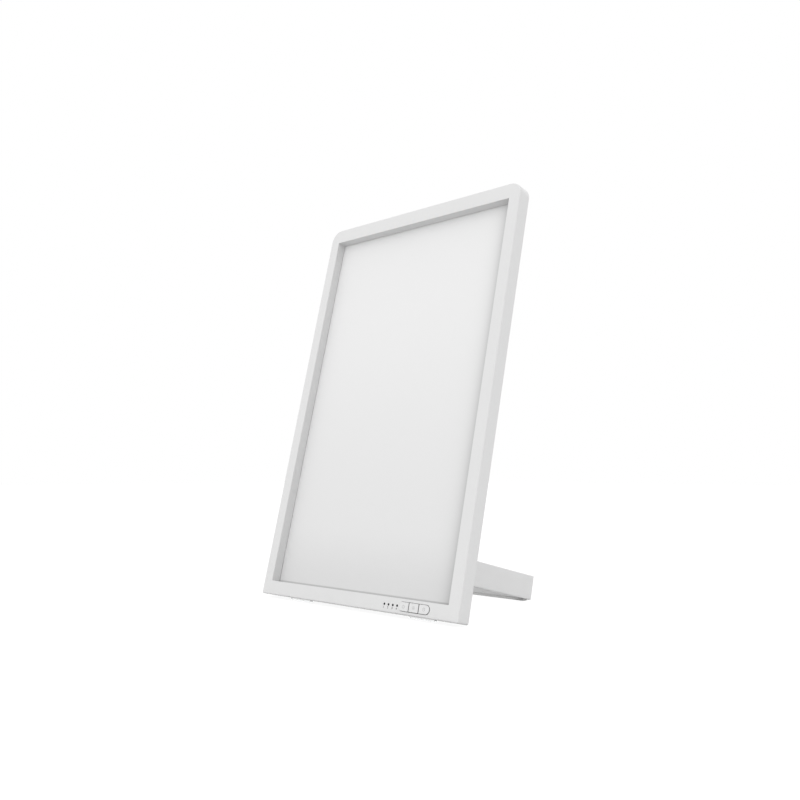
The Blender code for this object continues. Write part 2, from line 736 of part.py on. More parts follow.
def add_jack_pocket(housing, tools, pose):
    """A well in the rear wall, with a hole in its floor for the inlet."""
    well = upright_sheet("well", [pocket_outline(JACK_POCKET_WALL)], jack_face() - JACK_POCKET_WALL,
                         HOUSING_REACH - HOUSING_WALL / 2, tools, pose)
    join(housing, well)
    room = upright_sheet("room", [pocket_outline()], jack_face(), HOUSING_REACH + OVERRUN, tools, pose)
    hole = turned("hole", JACK_NOSE_RADIUS + SEAT_GAP, jack_face() - OVERRUN, jack_face() + OVERRUN,
                  "Y", (JACK_OFFSET, JACK_CENTRE_HEIGHT), tools, pose)
    cut(housing, room, hole)


def add_hinge_bosses(housing, tools, pose):
    """Bosses inside the side walls, bored for the hinge pins."""
    place = (HINGE_DEPTH, HINGE_HEIGHT)
    end = STAND_HALF - PIN_LENGTH
    for side in (-1, 1):
        limits = sorted((side * (HOUSING_HALF - HOUSING_WALL / 2), side * (end + 2 * SEAT_GAP)))
        boss = turned("boss", HINGE_BOSS_RADIUS, limits[0], limits[1], "X", place, tools, pose)
        join(housing, boss)
        limits = sorted((side * (HOUSING_HALF + OVERRUN), side * (end - OVERRUN)))
        bore = turned("bore", PIN_RADIUS + PIN_CLEARANCE, limits[0], limits[1], "X", place, tools, pose)
        cut(housing, bore)


def cut_vents(housing, tools, pose):
    """Row of air slots in the sloping part of the rear wall."""
    slope = math.atan2(HOUSING_REACH - HOUSING_TOP_REACH, HOUSING_TOP - HOUSING_FLAT_TOP)
    height = (HOUSING_FLAT_TOP + HOUSING_TOP) / 2
    depth = rear_wall_depth(height)
    turn = Matrix.Translation((0, depth, height)) @ Matrix.Rotation(slope, 4, "X")
    for i in range(VENT_COUNT):
        x = (i - (VENT_COUNT - 1) / 2) * VENT_PITCH
        outline = stadium_outline((0, 0), VENT_LENGTH, VENT_WIDTH, 0, SMALL_ARC_STEPS)
        mesh = sheet_mesh("vent", [outline], 3 * HOUSING_WALL)
        upright = Matrix.Rotation(math.pi / 2, 4, "X") @ Matrix.Rotation(math.pi / 2, 4, "Z")
        mesh.transform(Matrix.Translation((x, 0, 0)) @ turn @ upright)
        cut(housing, add_mesh("vent", mesh, tools, pose))


def make_boards(parts, tools, pose, paints):
    """Driver board in the housing and control board behind the keys."""
    half = DRIVER_BOARD_WIDTH / 2
    back = DRIVER_BOARD_DEPTH + DRIVER_BOARD_THICK
    driver = block("driver_board", (-half, DRIVER_BOARD_DEPTH, DRIVER_BOARD_BOTTOM),
                   (half, back, DRIVER_BOARD_TOP), parts, pose)
    for place in driver_post_places():
        hole = turned("hole", SCREW_RADIUS + PIN_CLEARANCE, DRIVER_BOARD_DEPTH - OVERRUN, back + OVERRUN,
                      "Y", place, tools, pose, SMALL_ROUND_STEPS)
        cut(driver, hole)
    sink = DRIVER_BOARD_THICK / 4
    unit = DRIVER_BOARD_TOP - DRIVER_BOARD_BOTTOM
    can_radius = unit / 12
    can_place = (-unit / 4, DRIVER_BOARD_BOTTOM + unit / 2)
    can = turned("can", can_radius, back - sink, back + unit / 9, "Y", can_place, tools, pose)
    core_place = (can_place[0] + unit / 3, can_place[1])
    core = block("core", (core_place[0] - unit / 8, back - sink, core_place[1] - unit / 8),
                 (core_place[0] + unit / 8, back + unit / 10, core_place[1] + unit / 8), tools, pose)
    join(driver, can, core)
    finish(driver, paints["board"])
    left, right = control_board_ends()
    front = -CONTROL_BOARD_FRONT
    control = block("control_board", (left, front, CONTROL_BOARD_BOTTOM),
                    (right, front + CONTROL_BOARD_THICK, CONTROL_BOARD_TOP), parts, pose)
    for place in control_post_places():
        hole = turned("hole", SMALL_SCREW_RADIUS + PIN_CLEARANCE, front - OVERRUN,
                      front + CONTROL_BOARD_THICK + OVERRUN, "Y", place, tools, pose, SMALL_ROUND_STEPS)
        cut(control, hole)
    for place in lens_places():
        half = SOURCE_SIZE / 2
        source = block("source", (place[0] - half, front - SOURCE_HEIGHT, place[1] - half),
                       (place[0] + half, front + CONTROL_BOARD_THICK / 4, place[1] + half), tools, pose)
        join(control, source)
    finish(control, paints["board"])


def make_switches(parts, tools, pose, paints):
    """One push switch behind each key."""
    back = -CONTROL_BOARD_FRONT - SEAT_GAP
    front = back - SWITCH_THICK
    half = SWITCH_WIDTH / 2
    for word, (left, right) in zip(KEY_WORDS, key_limits()):
        x = (left + right) / 2
        body = block("key_switch_" + word, (x - half, front, KEY_CENTRE_HEIGHT - half),
                     (x + half, back, KEY_CENTRE_HEIGHT + half), parts, pose)
        plunger = turned("plunger", PLUNGER_RADIUS, front - PLUNGER_HEIGHT, front + SWITCH_THICK / 4,
                         "Y", (x, KEY_CENTRE_HEIGHT), tools, pose, SMALL_ROUND_STEPS)
        join(body, plunger)
        finish(body, paints["switch"])


def make_lenses(parts, tools, pose, paints):
    """Light pipes with a small flange behind the front wall."""
    end = -CONTROL_BOARD_FRONT - SOURCE_HEIGHT - SEAT_GAP
    behind = FRONT + FRONT_WALL + SEAT_GAP
    for i, place in enumerate(lens_places()):
        lens = turned(f"indicator_lens_{i + 1}", LENS_RADIUS, FRONT + LENS_SET_BACK, end, "Y", place,
                      parts, pose, SMALL_ROUND_STEPS)
        flange = turned("flange", LENS_FLANGE_RADIUS, behind, behind + LENS_FLANGE_THICK, "Y", place,
                        tools, pose, SMALL_ROUND_STEPS)
        join(lens, flange)
        finish(lens, paints["lens"])


def key_outline(index, limits, height, grow=0):
    """Outline of a key: half-round at the group's ends and square at the splits."""
    left, right = limits
    radius = height / 2 + grow
    low = KEY_CENTRE_HEIGHT - radius
    high = KEY_CENTRE_HEIGHT + radius
    quarter = math.pi / 2
    points = []
    if index == 0:
        points += arc_points((left - grow + radius, KEY_CENTRE_HEIGHT), radius, quarter, 3 * quarter,
                             2 * ARC_STEPS)
    else:
        points += [(left, high), (left, low)]
    if index == 2:
        points += arc_points((right + grow - radius, KEY_CENTRE_HEIGHT), radius, -quarter, quarter,
                             2 * ARC_STEPS)
    else:
        points += [(right, low), (right, high)]
    return points


def make_key(index, name, parts, tools, pose, material):
    """A key cap with a retaining flange and a stem that meets its switch."""
    limits = key_limits()[index]
    x = (limits[0] + limits[1]) / 2
    flange_front = FRONT + FRONT_WALL + SEAT_GAP
    flange_back = flange_front + KEY_FLANGE_THICK
    plunger_top = -CONTROL_BOARD_FRONT - SEAT_GAP - SWITCH_THICK - PLUNGER_HEIGHT
    stem_end = plunger_top - KEY_TRAVEL - SEAT_GAP / 2
    key = upright_sheet(name, [key_outline(index, limits, KEY_HEIGHT)], FRONT - KEY_PROUD,
                        flange_back - SEAT_GAP / 2, parts, pose)
    round_edges(key, KEY_EDGE_ROUND, 2)
    flange = upright_sheet("flange", [key_outline(index, limits, KEY_HEIGHT, KEY_FLANGE)], flange_front,
                           flange_back, tools, pose)
    stem = turned("stem", KEY_STEM_RADIUS, flange_front, stem_end, "Y", (x, KEY_CENTRE_HEIGHT), tools,
                  pose, SMALL_ROUND_STEPS)
    join(key, flange, stem)
    centre = Vector((x, FRONT, KEY_CENTRE_HEIGHT))
    key.data.transform(Matrix.Translation(-centre))
    key.location = centre
    return finish(key, material)


def make_jack(parts, tools, pose, material):
    """Barrel inlet: a square body with a round nose, a bore and a centre pin."""
    start = DRIVER_BOARD_DEPTH + DRIVER_BOARD_THICK + SEAT_GAP
    shoulder = jack_face() - JACK_POCKET_WALL - SEAT_GAP
    place = (JACK_OFFSET, JACK_CENTRE_HEIGHT)
    half_width = JACK_BODY_WIDTH / 2
    half_height = JACK_BODY_HEIGHT / 2
    jack = block("dc_jack", (JACK_OFFSET - half_width, start, JACK_CENTRE_HEIGHT - half_height),
                 (JACK_OFFSET + half_width, shoulder, JACK_CENTRE_HEIGHT + half_height), parts, pose)
    nose = turned("nose", JACK_NOSE_RADIUS, shoulder - JACK_POCKET_WALL, jack_face(), "Y", place, tools,
                  pose)
    join(jack, nose)
    bore = turned("bore", JACK_BORE_RADIUS, jack_face() - JACK_BORE_DEPTH, jack_face() + OVERRUN, "Y",
                  place, tools, pose)
    cut(jack, bore)
    pin = turned("pin", JACK_PIN_RADIUS, jack_face() - JACK_BORE_DEPTH - JACK_POCKET_WALL / 2,
                 jack_face() - SEAT_GAP, "Y", place, tools, pose, SMALL_ROUND_STEPS)
    join(jack, pin)
    return finish(jack, material)


def stand_plan():
    """Plan of the bail as (across, depth) pairs: a U that opens towards the panel."""
    start = HINGE_DEPTH - BAR_HEIGHT
    inner_end = STAND_REACH - CROSSBAR_THICK
    quarter = math.pi / 2
    radius = INNER_CORNER_RADIUS
    points = [(-STAND_HALF, start), (-STAND_HALF, STAND_REACH), (STAND_HALF, STAND_REACH),
              (STAND_HALF, start), (ARM_INNER, start)]
    points += arc_points((ARM_INNER - radius, inner_end - radius), radius, 0, quarter)
    points += arc_points((radius - ARM_INNER, inner_end - radius), radius, quarter, 2 * quarter)
    points += [(-ARM_INNER, start)]
    return points


def arm_side_outline():
    """Side profile of the bail: round about the hinge, square at the far end."""
    radius = BAR_HEIGHT / 2
    quarter = math.pi / 2
    points = arc_points((HINGE_DEPTH, HINGE_HEIGHT), radius, quarter, 3 * quarter, 2 * ARC_STEPS)
    points += [(STAND_REACH, BAR_BOTTOM), (STAND_REACH, BAR_BOTTOM + BAR_HEIGHT)]
    return points


def make_stand(parts, tools, hinge, paints):
    """Folding bail, with its origin on the hinge's axis, and the sole under its crossbar."""
    bail = plan_profile("stand_bail", [stand_plan()], BAR_BOTTOM, BAR_BOTTOM + BAR_HEIGHT, parts)
    trim = side_profile("trim", arm_side_outline(), -STAND_WIDTH, STAND_WIDTH, tools)
    combine(bail, trim, "INTERSECT")
    round_edges(bail, STAND_EDGE_ROUND, 2)
    place = (HINGE_DEPTH, HINGE_HEIGHT)
    for side in (-1, 1):
        limits = sorted((side * (ARM_INNER - OVERRUN), side * (STAND_HALF + OVERRUN)))
        bore = turned("bore", PIN_RADIUS + PIN_CLEARANCE, limits[0], limits[1], "X", place, tools)
        limits = sorted((side * (STAND_HALF - PIN_HEAD_THICK - SEAT_GAP), side * (STAND_HALF + OVERRUN)))
        seat = turned("seat", PIN_HEAD_RADIUS + SEAT_GAP, limits[0], limits[1], "X", place, tools)
        cut(bail, bore, seat)
    half = STAND_HALF - SOLE_SIDE_INSET
    sole = side_profile("stand_sole", sole_outline(), -half, half, parts)
    round_edges(sole, SEAT_GAP / 2, 1)
    shift = Matrix.Translation((0, -HINGE_DEPTH, -HINGE_HEIGHT))
    for item, paint in ((bail, "shell"), (sole, "sole")):
        item.data.transform(shift)
        item.parent = hinge
        finish(item, paints[paint])


def sole_outline():
    """Side profile of the wedge that lies flat on the table."""
    start = STAND_REACH - CROSSBAR_THICK
    end = STAND_REACH - SOLE_BACK_INSET
    top = BAR_BOTTOM - SEAT_GAP
    return [(start, table_height(start)), (end, table_height(end)), (end, top), (start, top)]


def make_hinge_pins(parts, tools, pose, paints):
    """Stepped pins with a slotted head, and the washers between arm and housing."""
    place = (HINGE_DEPTH, HINGE_HEIGHT)
    for side, word in ((-1, "left"), (1, "right")):
        limits = sorted((side * (STAND_HALF - PIN_HEAD_THICK / 2), side * (STAND_HALF - PIN_LENGTH)))
        pin = turned("hinge_pin_" + word, PIN_RADIUS, limits[0], limits[1], "X", place, parts, pose)
        limits = sorted((side * (STAND_HALF - SEAT_GAP), side * (STAND_HALF - PIN_HEAD_THICK)))
        head = turned("head", PIN_HEAD_RADIUS, limits[0], limits[1], "X", place, tools, pose)
        join(pin, head)
        limits = sorted((side * (STAND_HALF - SEAT_GAP - PIN_SLOT_DEPTH), side * (STAND_HALF + OVERRUN)))
        slot = block("slot", (limits[0], HINGE_DEPTH - PIN_HEAD_RADIUS - OVERRUN,
                              HINGE_HEIGHT - PIN_SLOT_WIDTH / 2),
                     (limits[1], HINGE_DEPTH + PIN_HEAD_RADIUS + OVERRUN,
                      HINGE_HEIGHT + PIN_SLOT_WIDTH / 2), tools, pose)
        cut(pin, slot)
        finish(pin, paints["steel"])
        start = HOUSING_HALF + SEAT_GAP
        limits = sorted((side * start, side * (start + WASHER_THICK)))
        washer = turned("friction_washer_" + word, WASHER_RADIUS, limits[0], limits[1], "X", place,
                        parts, pose)
        limits = sorted((side * (start - OVERRUN), side * (start + WASHER_THICK + OVERRUN)))
        bore = turned("bore", PIN_RADIUS + PIN_CLEARANCE, limits[0], limits[1], "X", place, tools, pose)
        cut(washer, bore)
        finish(washer, paints["washer"])


def make_feet(parts, tools, pose, material):
    """Rubber pads whose soles lie flat on the table."""
    front = -FOOT_BACK_INSET - FOOT_DEPTH
    back = -FOOT_BACK_INSET
    outline = [(front, table_height(front)), (back, table_height(back)), (back, FOOT_TENON),
               (front, FOOT_TENON)]
    for side, word in ((-1, "left"), (1, "right")):
        left, right = foot_limits(side)
        finish(side_profile("foot_" + word, outline, left, right, parts, pose), material)


def pan_screw(name, place, start, radius, length, parts, tools, pose):
    """A screw whose head lies behind its start and whose shank points to the front."""
    shank = turned("shank", radius, start - length, start + SCREW_HEAD_THICK / 4, "Y", place, tools,
                   pose, SMALL_ROUND_STEPS)
    head_thick = SCREW_HEAD_THICK * radius / SCREW_RADIUS
    head = turned(name, SCREW_HEAD_RADIUS * radius / SCREW_RADIUS, start, start + head_thick, "Y",
                  place, parts, pose, SMALL_ROUND_STEPS)
    join(head, shank)
    recess = turned("recess", radius * RECESS_SHARE, start + head_thick / 2, start + head_thick + OVERRUN,
                    "Y", place, tools, pose, RECESS_SIDES)
    cut(head, recess)
    return head


def back_screw(name, place, flat, length, tip, parts, tools, pose):
    """A screw whose shank points to the back, with a flat or a countersunk head at its front."""
    shank = turned("shank", SCREW_RADIUS, flat - SCREW_HEAD_THICK / 2, flat + length, "Y", place,
                   tools, pose, SMALL_ROUND_STEPS)
    head = turned(name, SCREW_HEAD_RADIUS, flat - SCREW_HEAD_THICK, flat, "Y", place, parts, pose,
                  SMALL_ROUND_STEPS, tip)
    join(head, shank)
    return head


def make_screws(parts, tools, pose, paints):
    """The screws of the rear cover, the housing and the boards."""
    screws = []
    for i, place in enumerate(cover_screw_places()):
        screws.append(pan_screw(f"cover_screw_{i + 1}", place, SEAT_GAP, SCREW_RADIUS, SCREW_LENGTH,
                                parts, tools, pose))
    for i, place in enumerate(housing_post_places()):
        screws.append(back_screw(f"housing_screw_{i + 1}", place, TRAY_FLOOR + SCREW_HEAD_THICK,
                                 SCREW_LENGTH - SCREW_HEAD_THICK, SCREW_RADIUS, parts, tools, pose))
    start = -CONTROL_BOARD_FRONT + CONTROL_BOARD_THICK + SEAT_GAP
    for i, place in enumerate(control_post_places()):
        screws.append(pan_screw(f"control_screw_{i + 1}", place, start, SMALL_SCREW_RADIUS,
                                SMALL_SCREW_LENGTH, parts, tools, pose))
    for i, place in enumerate(driver_post_places()):
        screws.append(back_screw(f"driver_screw_{i + 1}", place, DRIVER_BOARD_DEPTH - SEAT_GAP,
                                 SCREW_LENGTH, None, parts, tools, pose))
    for item in screws:
        finish(item, paints["steel"])


def make_materials():
    """Materials, with the colours that the photograph shows where it shows them."""
    return {
        "shell": new_material("white shell plastic", (0.78, 0.79, 0.80), 0.55),
        "opal": new_material("opal diffuser", (0.86, 0.87, 0.87), 0.45),
        "clear": new_material("clear light guide", (0.85, 0.90, 0.90), 0.10),
        "film": new_material("white reflector film", (0.90, 0.90, 0.90), 0.60),
        "aluminium": new_material("aluminium sheet", (0.70, 0.71, 0.72), 0.40, 1.0),
        "board": new_material("circuit board", (0.82, 0.84, 0.80), 0.50),
        "switch": new_material("switch body", (0.05, 0.05, 0.05), 0.50),
        "lens": new_material("dark indicator lens", (0.10, 0.10, 0.11), 0.30),
        "key": new_material("white key plastic", (0.80, 0.81, 0.82), 0.50),
        "jack": new_material("black inlet plastic", (0.02, 0.02, 0.02), 0.45),
        "steel": new_material("steel", (0.60, 0.60, 0.62), 0.35, 1.0),
        "washer": new_material("dark washer", (0.12, 0.12, 0.12), 0.70),
        "sole": new_material("grey soft sole", (0.55, 0.55, 0.56), 0.85),
    }


def main():
    """Build the lamp."""
    clear_scene()
    parts = new_collection("light_therapy_lamp")
    tools = new_collection("cutters")
    paints = make_materials()
    pose = add_mesh("panel_pose", None, parts)
    hinge = add_mesh("stand_hinge", None, parts, pose)
    hinge.location = (0, HINGE_DEPTH, HINGE_HEIGHT)
    make_bezel(parts, tools, pose, paints["shell"])
    make_sheets(parts, pose, paints)
    make_strip("led_strip_left", -1, parts, tools, pose, paints)
    make_strip("led_strip_right", 1, parts, tools, pose, paints)
    make_rear_cover(parts, tools, pose, paints["shell"])
    make_housing(parts, tools, pose, paints["shell"])
    make_boards(parts, tools, pose, paints)
    make_switches(parts, tools, pose, paints)
    make_lenses(parts, tools, pose, paints)
    for index, word in enumerate(KEY_WORDS):
        make_key(index, "key_" + word, parts, tools, pose, paints["key"])
    make_jack(parts, tools, pose, paints["jack"])
    make_stand(parts, tools, hinge, paints)
    make_hinge_pins(parts, tools, pose, paints)
    make_feet(parts, tools, pose, paints["sole"])
    make_screws(parts, tools, pose, paints)
    pose.rotation_euler = (-TILT, 0, 0)
    pose.location = (0, GROUND_Y, TABLE_LIFT)
    bpy.context.view_layer.update()


main()
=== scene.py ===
"""Light therapy lamp: finishes, small parts, printed marks and the studio.

Metres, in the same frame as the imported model. The panel's own frame has X across, Y from the front
to the back and Z up along the panel, with zero at the back bottom edge. on_panel() moves a mesh
from it to where the panel stands.
"""

import json
import math

import bmesh
import bpy
from mathutils import Matrix, Vector


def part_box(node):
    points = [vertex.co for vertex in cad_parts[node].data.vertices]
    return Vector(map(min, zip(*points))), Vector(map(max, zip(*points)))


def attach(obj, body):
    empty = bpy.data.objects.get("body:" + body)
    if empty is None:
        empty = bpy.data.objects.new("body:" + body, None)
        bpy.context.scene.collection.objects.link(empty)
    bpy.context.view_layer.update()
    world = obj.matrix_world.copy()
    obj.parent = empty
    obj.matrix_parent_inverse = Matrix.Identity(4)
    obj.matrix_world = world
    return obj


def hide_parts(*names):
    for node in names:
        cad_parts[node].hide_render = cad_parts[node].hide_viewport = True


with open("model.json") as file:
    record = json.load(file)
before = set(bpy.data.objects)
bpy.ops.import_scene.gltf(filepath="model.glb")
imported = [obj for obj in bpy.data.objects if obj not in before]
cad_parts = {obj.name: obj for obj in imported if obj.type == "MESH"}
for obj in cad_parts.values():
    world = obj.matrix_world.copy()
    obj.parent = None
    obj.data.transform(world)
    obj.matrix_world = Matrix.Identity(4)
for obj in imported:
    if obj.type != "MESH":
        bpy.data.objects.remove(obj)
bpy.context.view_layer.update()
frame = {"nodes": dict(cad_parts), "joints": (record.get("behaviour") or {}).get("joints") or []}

bl_info = {
    "name": "Light therapy lamp",
    "version": (1, 0, 0),
    "blender": (4, 5, 0),
    "location": "View3D > Sidebar > Lamp",
    "description": "Finishes, small parts and studio of a folding light therapy lamp",
    "category": "Add Mesh",
}

# The panel's lean and its place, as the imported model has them
PRESS_AXIS = Vector(next(joint["axis"] for joint in frame["joints"]
                         if joint["name"] == "middle_key_press"))
LEAN = Matrix.Rotation(math.atan2(PRESS_AXIS.z, PRESS_AXIS.y), 4, "X")
HOUSING_SPOTS = [LEAN.inverted() @ vertex.co
                 for vertex in frame["nodes"]["bezel_frame"].data.vertices]
BACK = max(spot.y for spot in HOUSING_SPOTS)
FRONT = min(spot.y for spot in HOUSING_SPOTS) - BACK
PANEL_PLACE = LEAN @ Matrix.Translation((0, BACK, min(spot.z for spot in HOUSING_SPOTS)))
TO_PANEL = PANEL_PLACE.inverted()

# Regions of the front in the panel's own frame: left, right, bottom and top
CONTROLS = (0.0300, 0.0880, 0.0020, 0.0104)
UPPER_EDGE = (0.0400, 0.0880, 0.0090, 0.0104)
WINDOW = (-0.1047, 0.1047, 0.0120, 0.3434)
RECESS_MARGIN = 0.001
RECESS = (WINDOW[0] - RECESS_MARGIN, WINDOW[1] + RECESS_MARGIN,
          WINDOW[2] - RECESS_MARGIN, WINDOW[3] + RECESS_MARGIN)
REGION_FADE = 0.0003

# Painted shade, a darker colour on walls in gaps and recesses where shade falls: the region, the
# depths behind the front between which the painted shade sets in, and its colour
GAP_PAINTED_SHADE = (0.030, 0.030, 0.032)
UPPER_PAINTED_SHADE = (0.55, 0.55, 0.55)
RECESS_PAINTED_SHADE = (0.692, 0.692, 0.692)
RECESS_DEPTHS = (0.00010, 0.00100)
SLOT_DEPTHS = (0.00015, 0.00070)
CAP_DEPTHS = (-0.00035, 0.0)
SPLIT_DEPTHS = (-0.00062, -0.00046)
SPLIT_HALF = 0.0009
HOUSING_PAINTED_SHADES = [(CONTROLS, SLOT_DEPTHS, GAP_PAINTED_SHADE), (UPPER_EDGE, SLOT_DEPTHS, UPPER_PAINTED_SHADE),
                  (RECESS, RECESS_DEPTHS, RECESS_PAINTED_SHADE)]
CAP_PAINTED_SHADES = [(CONTROLS, CAP_DEPTHS, GAP_PAINTED_SHADE), (UPPER_EDGE, CAP_DEPTHS, UPPER_PAINTED_SHADE)]

# A digit's height as a share of the type size, and how much its strokes are fattened
DIGIT_SHARE = 0.7
DIGIT_BOLD = 0.05

# The sole: ribs on its underside, depth of the grooves between them, and rounding of its ends
SOLE_RIBS = 4
SOLE_GROOVE = 0.00025
SOLE_ROUND = 0.0004

# The spring contact in the inlet: its radii, how deep its mouth and its floor lie, how far its
# mouth flares and its waist draws in, and how deep the flare goes
CONTACT_OUTER = 0.00272
CONTACT_INNER = 0.00250
CONTACT_MOUTH = 0.0010
CONTACT_FLOOR = 0.0080
CONTACT_FLARE = 0.00008
CONTACT_WAIST = 0.00015
FLARE_DEPTH = 0.0010

# The pin in the inlet: between these radii its colour fades, and it stands this deep
PIN_RADII = (0.00104, 0.00108)
PIN_DEPTH = 0.0085

# Plain length at a screw's tip and below its head
SCREW_TIP = 0.0003

# The feet: their tint and how clear they are
FOOT_TINT = (0.93, 0.94, 0.94)
FOOT_CLEAR = 0.92

# Points within this depth belong to a key's face
FACE_DEPTH = 0.0002

# How far left of its lens's middle a number stands
NUMBER_SHIFT = 0.0003

# How much lighter than the housing's colour the key caps and the stand are made
CAP_LIGHT = 1.03
STAND_LIGHT = 1.035

# Grain of the mouldings at the back: cells in a metre, depth and roughness
COARSE = {"grain": 1900.0, "depth": 0.00003, "roughness": 0.52}

# Turns a piece made along Z so that it points out of the panel's back
TURNED_BACK = Matrix.Rotation(-math.pi / 2, 4, "X")

# Metals
PLATED = (0.60, 0.60, 0.61)
NICKEL = (0.66, 0.64, 0.60)

# The camera: its place in the panel's own frame, its lens in millimetres, and its tilt and turn
CAMERA_SPOT = (0.53611, -0.51807, -0.00914)
CAMERA_LENS = 39.75
CAMERA_TILT = math.radians(94.548)
CAMERA_TURN = math.radians(44.133)

# The surroundings: the light that they give, and how bright they show
SKY_STRENGTH = 1.085
SKY_SEEN = 1.0

# The floor: the colour that throws light back, the part of what shows that takes the shadow, the
# glow that makes up the rest, and half its width
FLOOR_COLOUR = (0.55, 0.55, 0.55)
FLOOR_SHADOW = (0.20, 0.20, 0.20)
FLOOR_GLOW = 0.90
FLOOR_HALF = 6.0
WHITE = (1.0, 1.0, 1.0)

# Lamps of the studio: name, place, aim, width, height and power
STUDIO_LAMPS = (
    ("front softbox", (0.30, -1.80, 0.60), (0.0, 0.0, 0.17), 1.6, 1.4, 2.30),
)


class LampSizes(bpy.types.PropertyGroup):
    """Sizes of the parts that are made here."""

    mark_height: bpy.props.FloatProperty(
        name="Number height", description="Height of the printed numbers under the lenses",
        default=0.00145, subtype="DISTANCE", unit="LENGTH")
    mark_drop: bpy.props.FloatProperty(
        name="Number drop", description="Distance from a lens down to the middle of its number",
        default=0.00240, subtype="DISTANCE", unit="LENGTH")
    ink_height: bpy.props.FloatProperty(
        name="Ink height", description="How far the print stands proud of the plastic",
        default=0.00003, subtype="DISTANCE", unit="LENGTH")
    symbol_size: bpy.props.FloatProperty(
        name="Symbol size", description="Width of the printed key symbols",
        default=0.0030, subtype="DISTANCE", unit="LENGTH")
    rim_round: bpy.props.FloatProperty(
        name="Rim round", description="Rounding of the housing's rims, square in the solid model",
        default=0.00025, subtype="DISTANCE", unit="LENGTH")
    head_radius: bpy.props.FloatProperty(
        name="Screw head", description="Radius of the head of a cover screw",
        default=0.00215, subtype="DISTANCE", unit="LENGTH")


class LampColours(bpy.types.PropertyGroup):
    """Colours of the lamp's finishes."""

    shell: bpy.props.FloatVectorProperty(
        name="Shell", description="White of the moulded housing and the stand",
        default=(0.803, 0.803, 0.803), size=3, min=0, max=1, subtype="COLOR")
    diffuser: bpy.props.FloatVectorProperty(
        name="Diffuser", description="Opal white of the sheet in the window",
        default=(0.886, 0.886, 0.886), size=3, min=0, max=1, subtype="COLOR")
    ink: bpy.props.FloatVectorProperty(
        name="Ink", description="Grey of the printed numbers",
        default=(0.12, 0.12, 0.125), size=3, min=0, max=1, subtype="COLOR")
    symbol: bpy.props.FloatVectorProperty(
        name="Symbol", description="Pale grey of the symbols on the keys",
        default=(0.46, 0.46, 0.465), size=3, min=0, max=1, subtype="COLOR")
    sole: bpy.props.FloatVectorProperty(
        name="Sole", description="Off-white of the soft sole",
        default=(0.76, 0.76, 0.757), size=3, min=0, max=1, subtype="COLOR")


class Value:
    """A socket that carries a number. Arithmetic on it adds Math nodes."""

    def __init__(self, nodes, socket):
        self.nodes = nodes
        self.socket = socket

    def math(self, operation, *others):
        """Add one Math node that works on this value and others."""
        values = {0: self, **{i + 1: other for i, other in enumerate(others)}}
        return self.nodes.node("ShaderNodeMath", {"operation": operation}, values)

    def swapped(self, operation, other):
        """Add one Math node with the other value first."""
        return self.nodes.node("ShaderNodeMath", {"operation": operation}, {0: other, 1: self})

    def __add__(self, other):
        return self.math("ADD", other)

    def __radd__(self, other):
        return self.swapped("ADD", other)

    def __sub__(self, other):
        return self.math("SUBTRACT", other)

    def __rsub__(self, other):
        return self.swapped("SUBTRACT", other)

    def __mul__(self, other):
        return self.math("MULTIPLY", other)

    def __rmul__(self, other):
        return self.swapped("MULTIPLY", other)

    def __truediv__(self, other):
        return self.math("DIVIDE", other)

    def __rtruediv__(self, other):
        return self.swapped("DIVIDE", other)

    def __pow__(self, other):
        return self.math("POWER", other)

    def __rpow__(self, other):
        return self.swapped("POWER", other)

    def clamped(self):
        """Keep the value between 0 and 1."""
        return self.math("MAXIMUM", 0.0).math("MINIMUM", 1.0)

    def smooth(self, low, high):
        """0 below low, 1 above high, with a soft step between."""
        return self.nodes.node(
            "ShaderNodeMapRange", {"interpolation_type": "SMOOTHSTEP", "clamp": True},
            {"Value": self, "From Min": low, "From Max": high, "To Min": 0.0, "To Max": 1.0},
            "Result")


class Nodes:
    """The node tree of a material or a world in the making."""

    def __init__(self, owner):
        owner.use_nodes = True
        self.tree = owner.node_tree
        self.tree.nodes.clear()

    def node(self, kind, settings, values, output=0):
        """Add a node: its settings first, then the values or links of its sockets."""
        made = self.tree.nodes.new(kind)
        for key, setting in settings.items():
            setattr(made, key, setting)
        for key, value in values.items():
            self.feed(made.inputs[key], value)
        return made if output is None else Value(self, made.outputs[output])

    def feed(self, socket, value):
        """Link a value to a socket, or write a number or a colour into it."""
        if isinstance(value, Value):
            self.tree.links.new(value.socket, socket)
        elif isinstance(value, (int, float)):
            socket.default_value = value
        else:
            wanted = len(socket.default_value)
            socket.default_value = (*value, 1.0)[:wanted]

    def seen(self):
        """1 for camera, glossy and transmission rays, which see the background as white."""
        paths = self.node("ShaderNodeLightPath", {}, {}, None)
        camera, glossy, through = (Value(self, paths.outputs[name]) for name in
                                   ("Is Camera Ray", "Is Glossy Ray", "Is Transmission Ray"))
        return camera.math("MAXIMUM", glossy).math("MAXIMUM", through)


